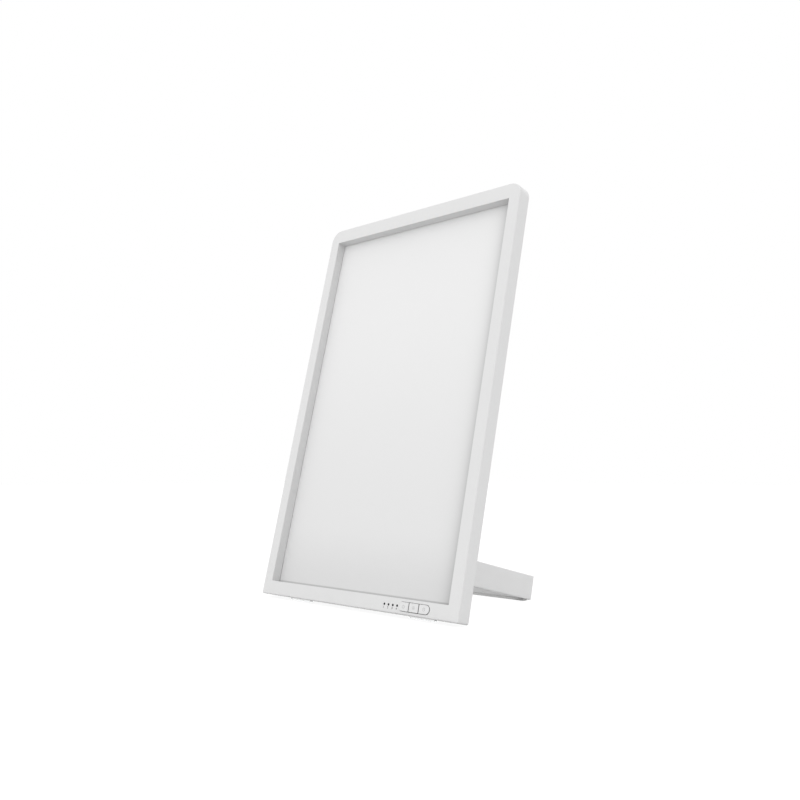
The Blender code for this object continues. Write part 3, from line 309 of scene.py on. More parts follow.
class Finish(Nodes):
    """A material in the making, with the Principled shader that ends in its output."""

    def __init__(self, name, **constants):
        self.material = bpy.data.materials.new(name)
        super().__init__(self.material)
        self.shader = self.node("ShaderNodeBsdfPrincipled", {}, {}, "BSDF")
        self.node("ShaderNodeOutputMaterial", {}, {"Surface": self.shader}, None)
        self.set(**constants)

    def set(self, **sockets):
        """Set or link sockets of the Principled shader; an underscore stands for a space."""
        made = self.shader.socket.node
        for key, value in sockets.items():
            self.feed(made.inputs[key.replace("_", " ")], value)
        return self

    def place(self):
        """The place on the object, in metres."""
        return self.node("ShaderNodeTexCoord", {}, {}, "Object")

    def panel_place(self):
        """The place in the panel's own frame, in metres, as three values."""
        moved = self.node("ShaderNodeMapping", {"vector_type": "POINT"},
                          {"Vector": self.place(), "Location": tuple(TO_PANEL.translation),
                           "Rotation": tuple(TO_PANEL.to_euler())}, "Vector")
        axes = self.node("ShaderNodeSeparateXYZ", {}, {"Vector": moved}, None)
        return [Value(self, axes.outputs[name]) for name in "XYZ"]

    def stretched(self, scale):
        """The place with each direction scaled by its own factor."""
        return self.node("ShaderNodeVectorMath", {"operation": "MULTIPLY"},
                         {0: self.place(), 1: scale}, "Vector")

    def noise(self, scale, detail=2.0, where=None):
        """Soft noise with so many features in a metre."""
        return self.node("ShaderNodeTexNoise", {},
                         {"Vector": where or self.place(), "Scale": scale, "Detail": detail,
                          "Roughness": 0.5}, "Fac")

    def cells(self, scale):
        """Rounded cells, as in a spark-eroded mould."""
        return self.node("ShaderNodeTexVoronoi", {"feature": "SMOOTH_F1"},
                         {"Vector": self.place(), "Scale": scale, "Smoothness": 0.6}, "Distance")

    def spots(self, scale, scatter):
        """Distance to the nearest of many spots; a scatter of 0 sets them in rows."""
        return self.node("ShaderNodeTexVoronoi", {"feature": "F1"},
                         {"Vector": self.place(), "Scale": scale, "Randomness": scatter},
                         "Distance")

    def blend(self, mask, first, second):
        """A colour between two others."""
        made = self.node("ShaderNodeMix", {"data_type": "RGBA"}, {"Factor": mask}, None)
        self.feed(made.inputs[6], first)
        self.feed(made.inputs[7], second)
        return Value(self, made.outputs[2])

    def bump(self, height, distance):
        """Raise the surface by a height, where 1 stands for the distance in metres."""
        normal = self.node("ShaderNodeBump", {},
                           {"Strength": 1.0, "Distance": distance, "Height": height}, "Normal")
        return self.set(Normal=normal)


def shade(colour, factor):
    """The colour made darker or lighter by a factor."""
    return tuple(min(1.0, channel * factor) for channel in colour)


def moulded(name, colour, grain=2600.0, depth=0.000018, roughness=0.47, painted_shades=()):
    """Moulded white plastic with the fine grain of its mould and a faint unevenness.

    Each row of painted shade gives a region of the front (left, right, bottom, top), the depths
    behind the front between which the walls there are painted darker as shade, and that colour.
    """
    finish = Finish(name, IOR=1.49, Specular_IOR_Level=0.42)
    grain_height = finish.cells(grain)
    cloud = finish.noise(14.0, 3.0)
    flow = finish.noise(90.0, 2.0)
    tone = (cloud * 0.7 + flow * 0.3).smooth(0.30, 0.72)
    skin = finish.blend(tone, shade(colour, 0.988), shade(colour, 1.008))
    finish.set(Roughness=roughness + 0.07 * (flow - 0.5) + 0.05 * (grain_height - 0.4))
    if painted_shades:
        x, y, z = finish.panel_place()
    # Painted shade: walls in gaps and recesses turn darker behind the front, where shade falls
    for (left, right, bottom, top), (near, far), walls in painted_shades:
        inside = (x - left).smooth(0, REGION_FADE) * (right - x).smooth(0, REGION_FADE)
        inside = inside * (z - bottom).smooth(0, REGION_FADE) * (top - z).smooth(0, REGION_FADE)
        skin = finish.blend(inside * (y - FRONT).smooth(near, far), skin, walls)
    finish.set(Base_Color=skin)
    return finish.bump(grain_height + 0.5 * finish.noise(5200.0, 1.0), depth).material


def fall(distance, start, length):
    """1 up to a start, and from there on an even fall towards 0."""
    return math.e ** ((start - distance) / length).math("MINIMUM", 0.0)


def opal_sheet(colour):
    """Opal acrylic in the window, satin. Painted light and shade make it whitest in the middle and
    higher up, and greyer along the housing.
    """
    finish = Finish("opal diffuser sheet", IOR=1.49, Specular_IOR_Level=0.35)
    x, _, z = finish.panel_place()
    left, right, bottom, _ = WINDOW
    # Painted shade: the sheet darkens towards its left, right and bottom edges, next to the housing
    left_edge_shade = 1 - 0.10 * (1 - (x - left).smooth(0.0, 0.0006))
    right_edge_shade = 1 - 0.30 * fall(right - x, 0.0072, 0.0050)
    bottom_edge_shade = 0.74 + 0.26 * (z - bottom).smooth(0.0012, 0.0022)
    # Painted light: the sheet grows lighter towards its top
    rise = (0.93 + 0.055 * z.smooth(0.02, 0.28)) * (0.89 + 0.11 * z.smooth(0.005, 0.070))
    rise = rise + 0.015 * z.smooth(0.10, 0.30)
    haze = finish.noise(9.0, 2.0)
    painted_light_and_haze = left_edge_shade * right_edge_shade * bottom_edge_shade * rise + 0.008 * (haze - 0.5)
    finish.set(Base_Color=finish.blend(painted_light_and_haze.clamped(), (0.0, 0.0, 0.0), colour))
    satin = finish.noise(3600.0, 2.0)
    finish.set(Roughness=0.42 + 0.06 * (satin - 0.5))
    return finish.bump(satin, 0.000008).material


def clear_guide():
    """Clear acrylic light guide with the printed dots that lead the light out."""
    finish = Finish("clear light guide", IOR=1.49, Transmission_Weight=1.0)
    mask = 1 - finish.spots(620.0, 0.0).smooth(0.18, 0.30)
    finish.set(Base_Color=finish.blend(mask, (0.93, 0.96, 0.95), (0.96, 0.96, 0.96)))
    finish.set(Roughness=0.04 + 0.6 * mask)
    return finish.bump(mask, 0.00002).material


def white_film():
    """White reflector film, matt, with the slight cockle of a thin sheet."""
    finish = Finish("white reflector film", IOR=1.45, Specular_IOR_Level=0.3)
    cockle = finish.noise(22.0, 2.0)
    finish.set(Base_Color=finish.blend(cockle, (0.88, 0.88, 0.88), (0.93, 0.93, 0.93)))
    finish.set(Roughness=0.55 + 0.1 * (cockle - 0.5))
    return finish.bump(cockle, 0.0004).material


def rolled_sheet():
    """Rolled aluminium sheet with lines along its length."""
    finish = Finish("rolled aluminium", Metallic=1.0, IOR=1.45)
    lines = finish.noise(1.0, 4.0, finish.stretched((2600.0, 2600.0, 30.0)))
    stain = finish.noise(16.0, 3.0)
    finish.set(Base_Color=finish.blend(stain, (0.66, 0.67, 0.68), (0.76, 0.77, 0.78)))
    finish.set(Roughness=0.30 + 0.16 * lines)
    return finish.bump(lines, 0.00001).material


def turned_steel(name, colour=PLATED, axis=(1.0, 1.0, 1.0)):
    """Plated steel with the fine marks of turning and a little handling wear."""
    finish = Finish(name, Metallic=1.0, IOR=1.45)
    lines = finish.noise(1.0, 3.0, finish.stretched(tuple(2200.0 * part for part in axis)))
    wear = finish.noise(340.0, 3.0).smooth(0.45, 0.7)
    finish.set(Base_Color=finish.blend(wear, colour, shade(colour, 0.82)))
    finish.set(Roughness=0.24 + 0.12 * lines + 0.12 * wear)
    return finish.bump(lines, 0.000012).material


def circuit_board(name, mask_colour, copper_colour, cell=0.0016):
    """Coated circuit board: tracks that show under the mask, with solder lands."""
    finish = Finish(name, IOR=1.50, Coat_Weight=0.3, Coat_Roughness=0.15)
    runs = finish.node("ShaderNodeTexBrick", {"offset": 0.5, "squash": 1.0},
                       {"Vector": finish.place(), "Scale": 1.0 / cell, "Mortar Size": 0.06,
                        "Mortar Smooth": 0.1, "Brick Width": 2.5, "Row Height": 0.6}, "Fac")
    land = 1 - finish.spots(0.4 / cell, 0.6).smooth(0.10, 0.14)
    coated = finish.blend(runs, mask_colour, copper_colour)
    finish.set(Base_Color=finish.blend(land, coated, (0.72, 0.72, 0.70)))
    finish.set(Metallic=land * 0.8, Roughness=0.42 - 0.14 * land)
    return finish.bump(runs * 0.4 + land, 0.00004).material


def soft_rubber(name, colour, clear=0.0):
    """Soft elastomer, pale or clear, with fine ribs that grip the table."""
    finish = Finish(name, IOR=1.42, Specular_IOR_Level=0.3, Transmission_Weight=clear)
    ribs = finish.node("ShaderNodeTexWave", {"wave_type": "BANDS", "bands_direction": "X"},
                       {"Vector": finish.place(), "Scale": 420.0, "Distortion": 0.0}, "Fac")
    dust = finish.noise(900.0, 3.0)
    dusty = dust.smooth(0.35, 0.75)
    finish.set(Base_Color=finish.blend(dusty, shade(colour, 0.95), shade(colour, 1.04)))
    finish.set(Roughness=0.74 - 0.60 * clear + 0.10 * (dust - 0.5))
    return finish.bump(0.7 * ribs + 0.3 * dust, 0.00006).material


def dark_plastic(name, colour, roughness):
    """Dark engineering plastic with a fine grain."""
    finish = Finish(name, IOR=1.50, Specular_IOR_Level=0.45)
    cloud = finish.noise(260.0, 2.0)
    finish.set(Base_Color=finish.blend(cloud, shade(colour, 0.85), shade(colour, 1.25)))
    finish.set(Roughness=roughness + 0.10 * (cloud - 0.5))
    return finish.bump(finish.cells(3000.0), 0.00001).material


def smoked_lens():
    """Smoked light pipe: nearly black and satin."""
    finish = Finish("smoked light pipe", IOR=1.49, Specular_IOR_Level=0.08)
    cloud = finish.noise(1800.0, 2.0)
    finish.set(Base_Color=finish.blend(cloud, (0.006, 0.006, 0.007), (0.012, 0.012, 0.013)))
    finish.set(Roughness=0.30 + 0.08 * cloud)
    return finish.bump(cloud, 0.00001).material


def printed_ink(name, colour):
    """Pad-printed ink with slightly uneven cover."""
    finish = Finish(name, IOR=1.48, Specular_IOR_Level=0.3)
    cover = finish.noise(2600.0, 3.0)
    covered = cover.smooth(0.35, 0.65)
    finish.set(Base_Color=finish.blend(covered, shade(colour, 0.92), shade(colour, 1.10)))
    finish.set(Roughness=0.50 + 0.12 * (cover - 0.5))
    return finish.bump(cover, 0.00001).material


def dress(node, material):
    """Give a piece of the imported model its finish."""
    mesh = frame["nodes"][node].data
    mesh.materials.clear()
    mesh.materials.append(material)


def soften(node, width, segments=2, limit=math.radians(42)):
    """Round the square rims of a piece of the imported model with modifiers."""
    item = frame["nodes"][node]
    weld = item.modifiers.new("weld", "WELD")
    weld.merge_threshold = 0.000002
    bevel = item.modifiers.new("round", "BEVEL")
    bevel.width = width
    bevel.segments = segments
    bevel.limit_method = "ANGLE"
    bevel.angle_limit = limit
    bevel.use_clamp_overlap = True
    bevel.miter_outer = "MITER_ARC"
    even = item.modifiers.new("even", "WEIGHTED_NORMAL")
    even.weight = 80
    even.keep_sharp = False


def panel_spots(node):
    """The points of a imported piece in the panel's own frame."""
    return [TO_PANEL @ vertex.co for vertex in frame["nodes"][node].data.vertices]


def corners(spots):
    """Lowest and highest corner of the box round some points."""
    return [Vector(pick(spot[i] for spot in spots) for i in range(3)) for pick in (min, max)]


def new_piece(name, mesh, material, body):
    """Put a finished mesh into the scene as a piece that rides on a body."""
    item = bpy.data.objects.new(name, mesh)
    bpy.context.scene.collection.objects.link(item)
    mesh.materials.clear()
    mesh.materials.append(material)
    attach(item, body)
    return item


def on_panel(mesh, place=(0, 0, 0)):
    """Move a mesh from the panel's own frame to where the panel stands."""
    mesh.transform(PANEL_PLACE @ Matrix.Translation(place))
    return mesh


def facing_front(mesh):
    """Turn a mesh that lies in the XY plane so that it faces the front of the panel."""
    mesh.transform(Matrix.Rotation(math.pi / 2, 4, "X"))
    return mesh


def built(name, build):
    """Turn a bmesh into a mesh whose faces all point outwards."""
    bmesh.ops.recalc_face_normals(build, faces=build.faces)
    mesh = bpy.data.meshes.new(name)
    build.to_mesh(mesh)
    build.free()
    return mesh


def bridge(build, first, second):
    """Join two closed rings of as many points with faces."""
    for i in range(len(first)):
        j = (i + 1) % len(first)
        build.faces.new((first[i], first[j], second[j], second[i]))


def number_mesh(name, digit, height, thickness):
    """A flat number as a mesh, centred on its own middle."""
    curve = bpy.data.curves.new(name, "FONT")
    curve.body = digit
    curve.size = height / DIGIT_SHARE
    curve.align_x = "CENTER"
    curve.extrude = thickness / 2
    curve.offset = height * DIGIT_BOLD
    curve.resolution_u = 6
    holder = bpy.data.objects.new(name, curve)
    bpy.context.scene.collection.objects.link(holder)
    bpy.context.view_layer.update()
    graph = bpy.context.evaluated_depsgraph_get()
    mesh = bpy.data.meshes.new_from_object(holder.evaluated_get(graph))
    bpy.data.objects.remove(holder, do_unlink=True)
    bpy.data.curves.remove(curve)
    low, high = corners([vertex.co for vertex in mesh.vertices])
    middle = (low + high) / 2
    mesh.transform(Matrix.Translation((-middle.x, -middle.y, 0)))
    return mesh


def ring_points(radius, steps, start=0.0, end=2 * math.pi):
    """Points on a circle or an arc in the XY plane."""
    turns = [start + (end - start) * i / steps for i in range(steps + 1)]
    return [Vector((radius * math.cos(turn), radius * math.sin(turn))) for turn in turns]


def add_stroke(build, points, width, thickness, closed=False):
    """Add a flat stroke of an even width along points to a bmesh, with square ends."""
    count = len(points)
    sides = []
    for i, point in enumerate(points):
        before = points[i - 1] if closed or i > 0 else point
        after = points[(i + 1) % count] if closed or i < count - 1 else point
        along = (after - before).normalized()
        across = Vector((-along.y, along.x)) * width / 2
        sides.append((point + across, point - across))
    rings = []
    for left, right in sides:
        rings.append([build.verts.new((*spot, height)) for spot, height in
                      ((left, -thickness / 2), (right, -thickness / 2),
                       (right, thickness / 2), (left, thickness / 2))])
    last = count if closed else count - 1
    for i in range(last):
        bridge(build, rings[i], rings[(i + 1) % count])
    if not closed:
        build.faces.new(rings[0][::-1])
        build.faces.new(rings[-1])


def symbol_mesh(kind, size, thickness):
    """A key's symbol: a clock for the timer, a sun for brightness, an open ring for power."""
    build = bmesh.new()
    radius = size / 2
    stroke = size * 0.085
    if kind == "timer":
        add_stroke(build, ring_points(radius * 0.82, 32)[:-1], stroke, thickness, closed=True)
        add_stroke(build, [Vector((0, radius * 0.52)), Vector((0, 0)), Vector((radius * 0.40, 0))],
                   stroke, thickness)
    elif kind == "brightness":
        add_stroke(build, ring_points(radius * 0.40, 24)[:-1], stroke, thickness, closed=True)
        for i in range(8):
            turn = math.radians(45 * i)
            ray = Vector((math.cos(turn), math.sin(turn)))
            add_stroke(build, [ray * radius * 0.66, ray * radius], stroke, thickness)
    else:
        gap = math.radians(38)
        add_stroke(build, ring_points(radius * 0.80, 28, math.pi / 2 + gap, math.pi * 2.5 - gap),
                   stroke, thickness)
        add_stroke(build, [Vector((0, radius * 0.20)), Vector((0, radius))], stroke, thickness)
    return built("symbol_" + kind, build)


def profile_turned(name, outline, steps, closed=False):
    """A solid turned about Z from (radius, height) points; a closed outline gives a ring."""
    build = bmesh.new()
    rings = []
    for radius, height in outline:
        if radius == 0:
            rings.append([build.verts.new((0, 0, height))])
        else:
            rings.append([build.verts.new((*spot, height))
                          for spot in ring_points(radius, steps)[:-1]])
    for lower, upper in zip(rings, rings[1:] + (rings[:1] if closed else [])):
        for i in range(steps):
            j = (i + 1) % steps
            if len(lower) == 1:
                build.faces.new((lower[0], upper[j], upper[i]))
            elif len(upper) == 1:
                build.faces.new((lower[i], lower[j], upper[0]))
            else:
                build.faces.new((lower[i], lower[j], upper[j], upper[i]))
    return built(name, build)


def shade_by_angle(mesh, limit=math.radians(35)):
    """Shade round faces smooth and keep edges crisp."""
    mesh.shade_smooth()
    mesh.set_sharp_from_angle(angle=limit)


class LAMP_OT_shell(bpy.types.Operator):
    """Finish the front housing and the rear cover"""

    bl_idname = "lamp.shell"
    bl_label = "Shell"

    def execute(self, context):
        shell = context.scene.lamp_colours.shell
        # The housing gets painted shade in its key slot, above the keys and in the window's recess
        dress("bezel_frame", moulded("white moulded housing", shell, painted_shades=HOUSING_PAINTED_SHADES))
        dress("rear_cover", moulded("white moulded cover", shell, **COARSE))
        soften("bezel_frame", context.scene.lamp_sizes.rim_round)
        return {"FINISHED"}


class LAMP_OT_window(bpy.types.Operator):
    """Finish the diffuser and the sheets and strips behind it"""

    bl_idname = "lamp.window"
    bl_label = "Window"

    def execute(self, context):
        dress("diffuser", opal_sheet(context.scene.lamp_colours.diffuser))
        dress("light_guide", clear_guide())
        dress("reflector_sheet", white_film())
        dress("back_plate", rolled_sheet())
        strip = circuit_board("white light strip", (0.84, 0.85, 0.84), (0.80, 0.80, 0.76), 0.0012)
        for node in ("led_strip_left", "led_strip_right"):
            dress(node, strip)
        return {"FINISHED"}


class LAMP_OT_keys(bpy.types.Operator):
    """Finish the three keys and print their symbols"""

    bl_idname = "lamp.keys"
    bl_label = "Keys"

    def execute(self, context):
        sizes, colours = context.scene.lamp_sizes, context.scene.lamp_colours
        # Painted shade in the splits between the keys, dark where shade falls
        painted_split_shades = [((limit.x - SPLIT_HALF, limit.x + SPLIT_HALF, *CONTROLS[2:]), SPLIT_DEPTHS,
                   GAP_PAINTED_SHADE) for limit in self.cap_limits("key_middle")]
        cap = moulded("white key cap", shade(colours.shell, CAP_LIGHT), 3400.0, 0.000012, 0.42,
                      [*CAP_PAINTED_SHADES, *painted_split_shades])
        ink = printed_ink("pale printed ink", colours.symbol)
        for word, kind in (("left", "power"), ("middle", "brightness"), ("right", "timer")):
            node = "key_" + word
            dress(node, cap)
            low, high = self.cap_limits(node)
            mesh = facing_front(symbol_mesh(kind, sizes.symbol_size, sizes.ink_height))
            place = ((low.x + high.x) / 2, low.y - sizes.ink_height / 2, (low.z + high.z) / 2)
            new_piece("symbol_" + kind, on_panel(mesh, place), ink, word + "_key")
        return {"FINISHED"}

    @staticmethod
    def cap_limits(node):
        """Lowest and highest corner of a key's face in the panel's own frame."""
        spots = panel_spots(node)
        face = min(spot.y for spot in spots)
        return corners([spot for spot in spots if spot.y < face + FACE_DEPTH])


class LAMP_OT_lenses(bpy.types.Operator):
    """Finish the four indicator lenses and print the numbers under them"""

    bl_idname = "lamp.lenses"
    bl_label = "Indicators"

    def execute(self, context):
        sizes = context.scene.lamp_sizes
        lens = smoked_lens()
        ink = printed_ink("dark printed ink", context.scene.lamp_colours.ink)
        for digit in "1234":
            node = "indicator_lens_" + digit
            dress(node, lens)
            low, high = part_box(node)
            middle = TO_PANEL @ ((low + high) / 2)
            name = "number_" + digit
            mesh = facing_front(number_mesh(name, digit, sizes.mark_height, sizes.ink_height))
            place = (middle.x - NUMBER_SHIFT, FRONT - sizes.ink_height / 2,
                     middle.z - sizes.mark_drop)
            new_piece(name, on_panel(mesh, place), ink, "lamp")
        return {"FINISHED"}


class LAMP_OT_stand(bpy.types.Operator):
    """Finish the folding stand and its sole"""

    bl_idname = "lamp.stand"
    bl_label = "Stand"

    def execute(self, context):
        colours = context.scene.lamp_colours
        dress("stand_bail", moulded("white moulded stand", shade(colours.shell, STAND_LIGHT),
                                    2300.0, 0.00002, 0.50))
        rubber = soft_rubber("off-white sole", colours.sole)
        dress("stand_sole", rubber)
        sole = new_piece("ribbed_sole", self.sole_mesh(), rubber, "stand")
        shade_by_angle(sole.data)
        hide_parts("stand_sole")
        return {"FINISHED"}

    @staticmethod
    def sole_mesh():
        """The wedge moulded under the crossbar, with cut back ends and ribs on its underside."""
        low, high = corners(panel_spots("stand_sole"))
        top = corners(panel_spots("stand_bail"))[0].z
        # The table as a line in the panel's own frame: its slope over the depth and its level
        slope = -PANEL_PLACE[2][1] / PANEL_PLACE[2][2]
        level = -PANEL_PLACE[2][3] / PANEL_PLACE[2][2]
        pitch = (high.y - low.y) / SOLE_RIBS
        outline = []
        for i in range(SOLE_RIBS):
            first = low.y + i * pitch
            for share, lift in ((0.0, SOLE_GROOVE), (0.18, 0.0), (0.82, 0.0), (1.0, SOLE_GROOVE)):
                depth = first + share * pitch
                outline.append((depth, level + slope * depth + lift))
        outline += [(high.y, top), (low.y, top)]
        middle = (low.y + high.y) / 2
        build = bmesh.new()
        ends = []
        for x, shrink in ((-high.x, SOLE_ROUND), (SOLE_ROUND - high.x, 0.0),
                          (high.x - SOLE_ROUND, 0.0), (high.x, SOLE_ROUND)):
            ends.append([])
            for depth, height in outline:
                shift = shrink if depth < middle else -shrink
                rise = slope * shift if height < top else 0
                ends[-1].append(build.verts.new((x, depth + shift, height + rise)))
        for first, second in zip(ends, ends[1:]):
            bridge(build, first, second)
        build.faces.new(ends[0][::-1])
        build.faces.new(ends[-1])
        bmesh.ops.remove_doubles(build, verts=build.verts, dist=0.000001)
        return on_panel(built("ribbed_sole", build))


class LAMP_OT_hinge(bpy.types.Operator):
    """Finish the hinge housing, its pins and its washers"""

    bl_idname = "lamp.hinge"
    bl_label = "Hinge"

    def execute(self, context):
        shell = context.scene.lamp_colours.shell
        dress("hinge_housing", moulded("white moulded hinge housing", shell, **COARSE))
        pin = turned_steel("turned hinge pin", axis=(0.05, 1.0, 1.0))
        washer = dark_plastic("dark friction washer", (0.10, 0.10, 0.105), 0.62)
        for word in ("left", "right"):
            dress("hinge_pin_" + word, pin)
            dress("friction_washer_" + word, washer)
        return {"FINISHED"}


class LAMP_OT_feet(bpy.types.Operator):
    """Finish the clear feet under the panel"""

    bl_idname = "lamp.feet"
    bl_label = "Feet"

    def execute(self, context):
        rubber = soft_rubber("clear foot", FOOT_TINT, FOOT_CLEAR)
        for word in ("left", "right"):
            dress("foot_" + word, rubber)
        return {"FINISHED"}


class LAMP_OT_inlet(bpy.types.Operator):
    """Finish the power inlet and add its metal contacts"""

    bl_idname = "lamp.inlet"
    bl_label = "Power inlet"

    def execute(self, context):
        low, high = corners(panel_spots("dc_jack"))
        centre = (low + high) / 2
        dress("dc_jack", self.inlet_finish(centre, high.y))
        spring = turned_steel("nickel spring contact", NICKEL, (1.0, 0.05, 1.0))
        mouth, floor = high.y - CONTACT_MOUTH, high.y - CONTACT_FLOOR
        outline = [(CONTACT_OUTER, floor), (CONTACT_OUTER, mouth),
                   (CONTACT_INNER + CONTACT_FLARE, mouth), (CONTACT_INNER, mouth - FLARE_DEPTH),
                   (CONTACT_INNER - CONTACT_WAIST, (mouth + floor) / 2), (CONTACT_INNER, floor)]
        mesh = profile_turned("inlet_contact", outline, 40, closed=True)
        mesh.transform(TURNED_BACK)
        piece = new_piece("inlet_contact", on_panel(mesh, (centre.x, 0, centre.z)), spring,
                          "lamp")
        shade_by_angle(piece.data)
        return {"FINISHED"}

    @staticmethod
    def inlet_finish(centre, face):
        """Black plastic with a nickel-plated pin in the middle of the bore."""
        finish = Finish("black inlet plastic", IOR=1.50, Specular_IOR_Level=0.45)
        x, y, z = finish.panel_place()
        away = ((x - centre.x) ** 2.0 + (z - centre.z) ** 2.0) ** 0.5
        pin = (1 - away.smooth(*PIN_RADII)) * (y - face + PIN_DEPTH).smooth(0.0, 0.00005)
        cloud = finish.noise(260.0, 2.0)
        plastic = finish.blend(cloud, (0.014, 0.014, 0.016), (0.024, 0.024, 0.026))
        finish.set(Base_Color=finish.blend(pin, plastic, NICKEL), Metallic=pin)
        finish.set(Roughness=0.40 - 0.16 * pin + 0.10 * (cloud - 0.5))
        return finish.bump(finish.cells(3000.0), 0.00001).material


class LAMP_OT_electronics(bpy.types.Operator):
    """Finish the circuit boards and the switches"""

    bl_idname = "lamp.electronics"
    bl_label = "Electronics"

    def execute(self, context):
        dress("driver_board", circuit_board("green driver board",
                                            (0.02, 0.13, 0.05), (0.04, 0.20, 0.08)))
        dress("control_board", circuit_board("white control board",
                                             (0.80, 0.81, 0.79), (0.74, 0.74, 0.68)))
        body = dark_plastic("black switch body", (0.03, 0.03, 0.032), 0.45)
        for word in ("left", "middle", "right"):
            dress("key_switch_" + word, body)
        return {"FINISHED"}


class LAMP_OT_screws(bpy.types.Operator):
    """Finish the screws, and give the cover's screws their recess and thread"""

    bl_idname = "lamp.screws"
    bl_label = "Screws"

    def execute(self, context):
        steel = turned_steel("plated screw")
        for node in sorted(name for name in frame["nodes"] if "_screw_" in name):
            dress(node, steel)
            if not node.startswith("cover_"):
                continue
            low, high = corners(panel_spots(node))
            name = node + "_detailed"
            mesh = self.cross_screw(name, context.scene.lamp_sizes.head_radius, high.y - low.y)
            mesh.transform(TURNED_BACK)
            place = ((low.x + high.x) / 2, low.y, (low.z + high.z) / 2)
            piece = new_piece(name, on_panel(mesh, place), steel, "lamp")
            shade_by_angle(piece.data, math.radians(30))
            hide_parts(node)
        return {"FINISHED"}

    def cross_screw(self, name, radius, length):
        """A pan-head screw along Z with a cross recess in its domed head and a threaded shank."""
        thick = radius * 0.51
        start = length - thick
        shank = radius * 0.51
        pitch = shank * 0.72
        root = shank * 0.80
        outline = [(0, 0), (shank * 0.45, pitch * 0.3)]
        for i in range(int((start - 2 * SCREW_TIP) / pitch)):
            low = SCREW_TIP + i * pitch
            outline += [(root, low + pitch * 0.25), (shank, low + pitch * 0.62),
                        (root, low + pitch)]
        outline += [(shank * 0.86, start), (radius * 0.96, start), (radius, start + thick * 0.12)]
        for i in range(1, 8):
            turn = math.pi / 2 * i / 8
            outline.append((radius * math.cos(turn) ** 0.75,
                            start + thick * (0.25 + 0.75 * math.sin(turn))))
        outline.append((0, length))
        screw = profile_turned(name, outline, 36)
        # Levels of the recess: height, reach of an arm from the middle, and half its width
        levels = ((start - thick * 0.10, radius * 0.10, radius * 0.05),
                  (length + thick * 0.30, radius * 0.70, radius * 0.17))
        return self.cut(screw, self.recess_mesh(name + "_recess", levels))

    @staticmethod
    def recess_mesh(name, levels):
        """A plus shape along Z that tapers from one level to the other."""
        build = bmesh.new()
        rings = []
        for height, arm, half in levels:
            quarter = [Vector((arm, -half)), Vector((arm, half)), Vector((half, half))]
            rings.append([build.verts.new((*(Matrix.Rotation(math.pi / 2 * i, 2) @ spot), height))
                          for i in range(4) for spot in quarter])
        low, high = rings
        build.faces.new(low[::-1])
        build.faces.new(high)
        bridge(build, low, high)
        return built(name, build)

    @staticmethod
    def cut(mesh, cutter):
        """The mesh with the cutter taken out of it."""
        body, tool = (bpy.data.objects.new(item.name, item) for item in (mesh, cutter))
        for item in (body, tool):
            bpy.context.scene.collection.objects.link(item)
        recess = body.modifiers.new("recess", "BOOLEAN")
        recess.object = tool
        recess.solver = "EXACT"
        bpy.context.view_layer.update()
        shaped = bpy.data.meshes.new_from_object(
            body.evaluated_get(bpy.context.evaluated_depsgraph_get()))
        for item in (body, tool):
            bpy.data.objects.remove(item, do_unlink=True)
        for item in (mesh, cutter):
            bpy.data.meshes.remove(item)
        return shaped


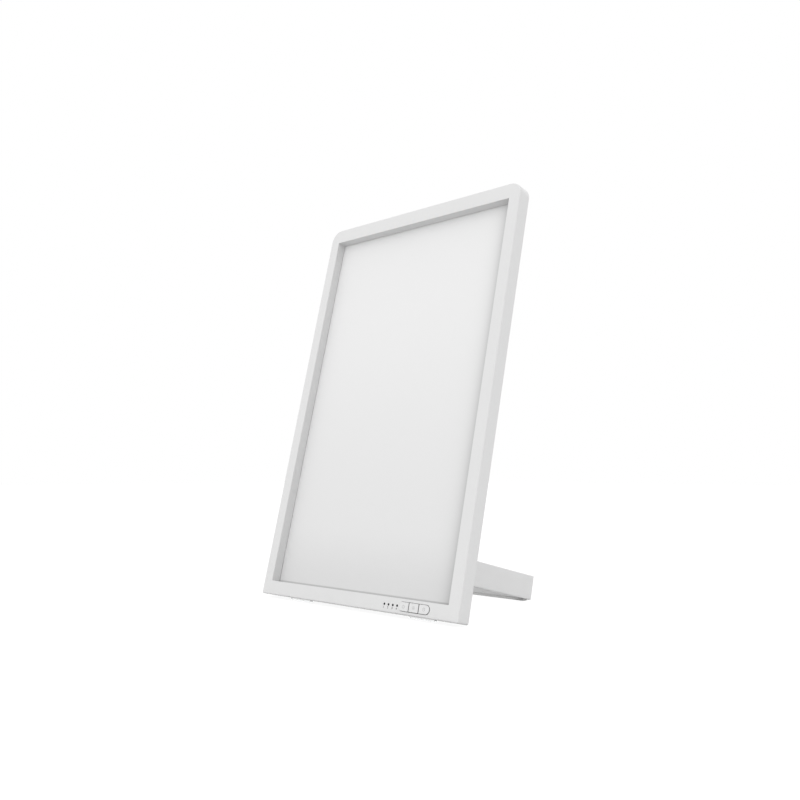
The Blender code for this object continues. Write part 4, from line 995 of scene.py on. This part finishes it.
class LAMP_OT_stage(bpy.types.Operator):
    """Set up the floor, the lamps, the world and the camera"""

    bl_idname = "lamp.stage"
    bl_label = "Studio"

    def execute(self, context):
        self.make_floor()
        self.make_world(context.scene)
        for lamp in STUDIO_LAMPS:
            self.make_lamp(*lamp)
        self.make_camera(context.scene)
        context.scene.view_settings.view_transform = "Standard"
        return {"FINISHED"}

    @staticmethod
    def make_floor():
        """Pale floor that shows as white and still keeps the lamp's shadow."""
        mesh = bpy.data.meshes.new("studio_floor")
        build = bmesh.new()
        bmesh.ops.create_grid(build, x_segments=1, y_segments=1, size=FLOOR_HALF)
        build.to_mesh(mesh)
        build.free()
        floor = bpy.data.objects.new("studio_floor", mesh)
        bpy.context.scene.collection.objects.link(floor)
        material = bpy.data.materials.new("pale studio floor")
        nodes = Nodes(material)
        matt = nodes.node("ShaderNodeBsdfDiffuse", {}, {"Color": FLOOR_COLOUR}, "BSDF")
        faint = nodes.node("ShaderNodeBsdfDiffuse", {}, {"Color": FLOOR_SHADOW}, "BSDF")
        glow = nodes.node("ShaderNodeEmission", {}, {"Color": WHITE, "Strength": FLOOR_GLOW},
                          "Emission")
        pale = nodes.node("ShaderNodeAddShader", {}, {0: faint, 1: glow}, "Shader")
        mixed = nodes.node("ShaderNodeMixShader", {}, {0: nodes.seen(), 1: matt, 2: pale},
                           "Shader")
        nodes.node("ShaderNodeOutputMaterial", {}, {"Surface": mixed}, None)
        mesh.materials.append(material)

    @staticmethod
    def make_world(scene):
        """Soft white surroundings that show as plain white."""
        scene.world = bpy.data.worlds.new("studio")
        nodes = Nodes(scene.world)
        soft, shown = (nodes.node("ShaderNodeBackground", {},
                                  {"Color": WHITE, "Strength": strength}, "Background")
                       for strength in (SKY_STRENGTH, SKY_SEEN))
        mixed = nodes.node("ShaderNodeMixShader", {}, {0: nodes.seen(), 1: soft, 2: shown},
                           "Shader")
        nodes.node("ShaderNodeOutputWorld", {}, {"Surface": mixed}, None)

    @staticmethod
    def make_lamp(name, place, aim, width, height, power):
        """A soft area lamp that points at a spot."""
        data = bpy.data.lights.new(name, "AREA")
        data.shape = "RECTANGLE"
        data.size = width
        data.size_y = height
        data.energy = power
        lamp = bpy.data.objects.new(name, data)
        bpy.context.scene.collection.objects.link(lamp)
        lamp.location = place
        lamp.rotation_euler = (Vector(aim) - Vector(place)).to_track_quat("-Z", "Y").to_euler()

    @staticmethod
    def make_camera(scene):
        """The camera, a little above the table and to the right of the lamp's front."""
        data = bpy.data.cameras.new("camera")
        data.lens = CAMERA_LENS
        data.sensor_width = 36.0
        data.clip_start = 0.01
        data.clip_end = 50.0
        camera = bpy.data.objects.new("camera", data)
        scene.collection.objects.link(camera)
        camera.location = PANEL_PLACE @ Vector(CAMERA_SPOT)
        camera.rotation_euler = (CAMERA_TILT, 0.0, CAMERA_TURN)
        scene.camera = camera


OPERATORS = (
    LAMP_OT_shell, LAMP_OT_window, LAMP_OT_keys, LAMP_OT_lenses, LAMP_OT_stand, LAMP_OT_hinge,
    LAMP_OT_feet, LAMP_OT_inlet, LAMP_OT_electronics, LAMP_OT_screws, LAMP_OT_stage,
)


class LAMP_PT_sidebar(bpy.types.Panel):
    """Lists the lamp's sizes, its colours and its steps."""

    bl_idname = "LAMP_PT_sidebar"
    bl_label = "Light therapy lamp"
    bl_space_type = "VIEW_3D"
    bl_region_type = "UI"
    bl_category = "Lamp"

    def draw(self, context):
        for group in (context.scene.lamp_sizes, context.scene.lamp_colours):
            box = self.layout.box()
            for name in group.__annotations__:
                box.prop(group, name)
        for operator in OPERATORS:
            self.layout.operator(operator.bl_idname)


CLASSES = (LampSizes, LampColours, *OPERATORS, LAMP_PT_sidebar)


def register():
    """Register the classes and hang the settings on the scene."""
    for item in CLASSES:
        bpy.utils.register_class(item)
    bpy.types.Scene.lamp_sizes = bpy.props.PointerProperty(type=LampSizes)
    bpy.types.Scene.lamp_colours = bpy.props.PointerProperty(type=LampColours)


def unregister():
    """Undo what register did."""
    del bpy.types.Scene.lamp_colours
    del bpy.types.Scene.lamp_sizes
    for item in reversed(CLASSES):
        bpy.utils.unregister_class(item)


def main():
    """Make every piece and the studio."""
    register()
    for operator in OPERATORS:
        group, name = operator.bl_idname.split(".")
        getattr(getattr(bpy.ops, group), name)()


if __name__ == "__main__":
    main()
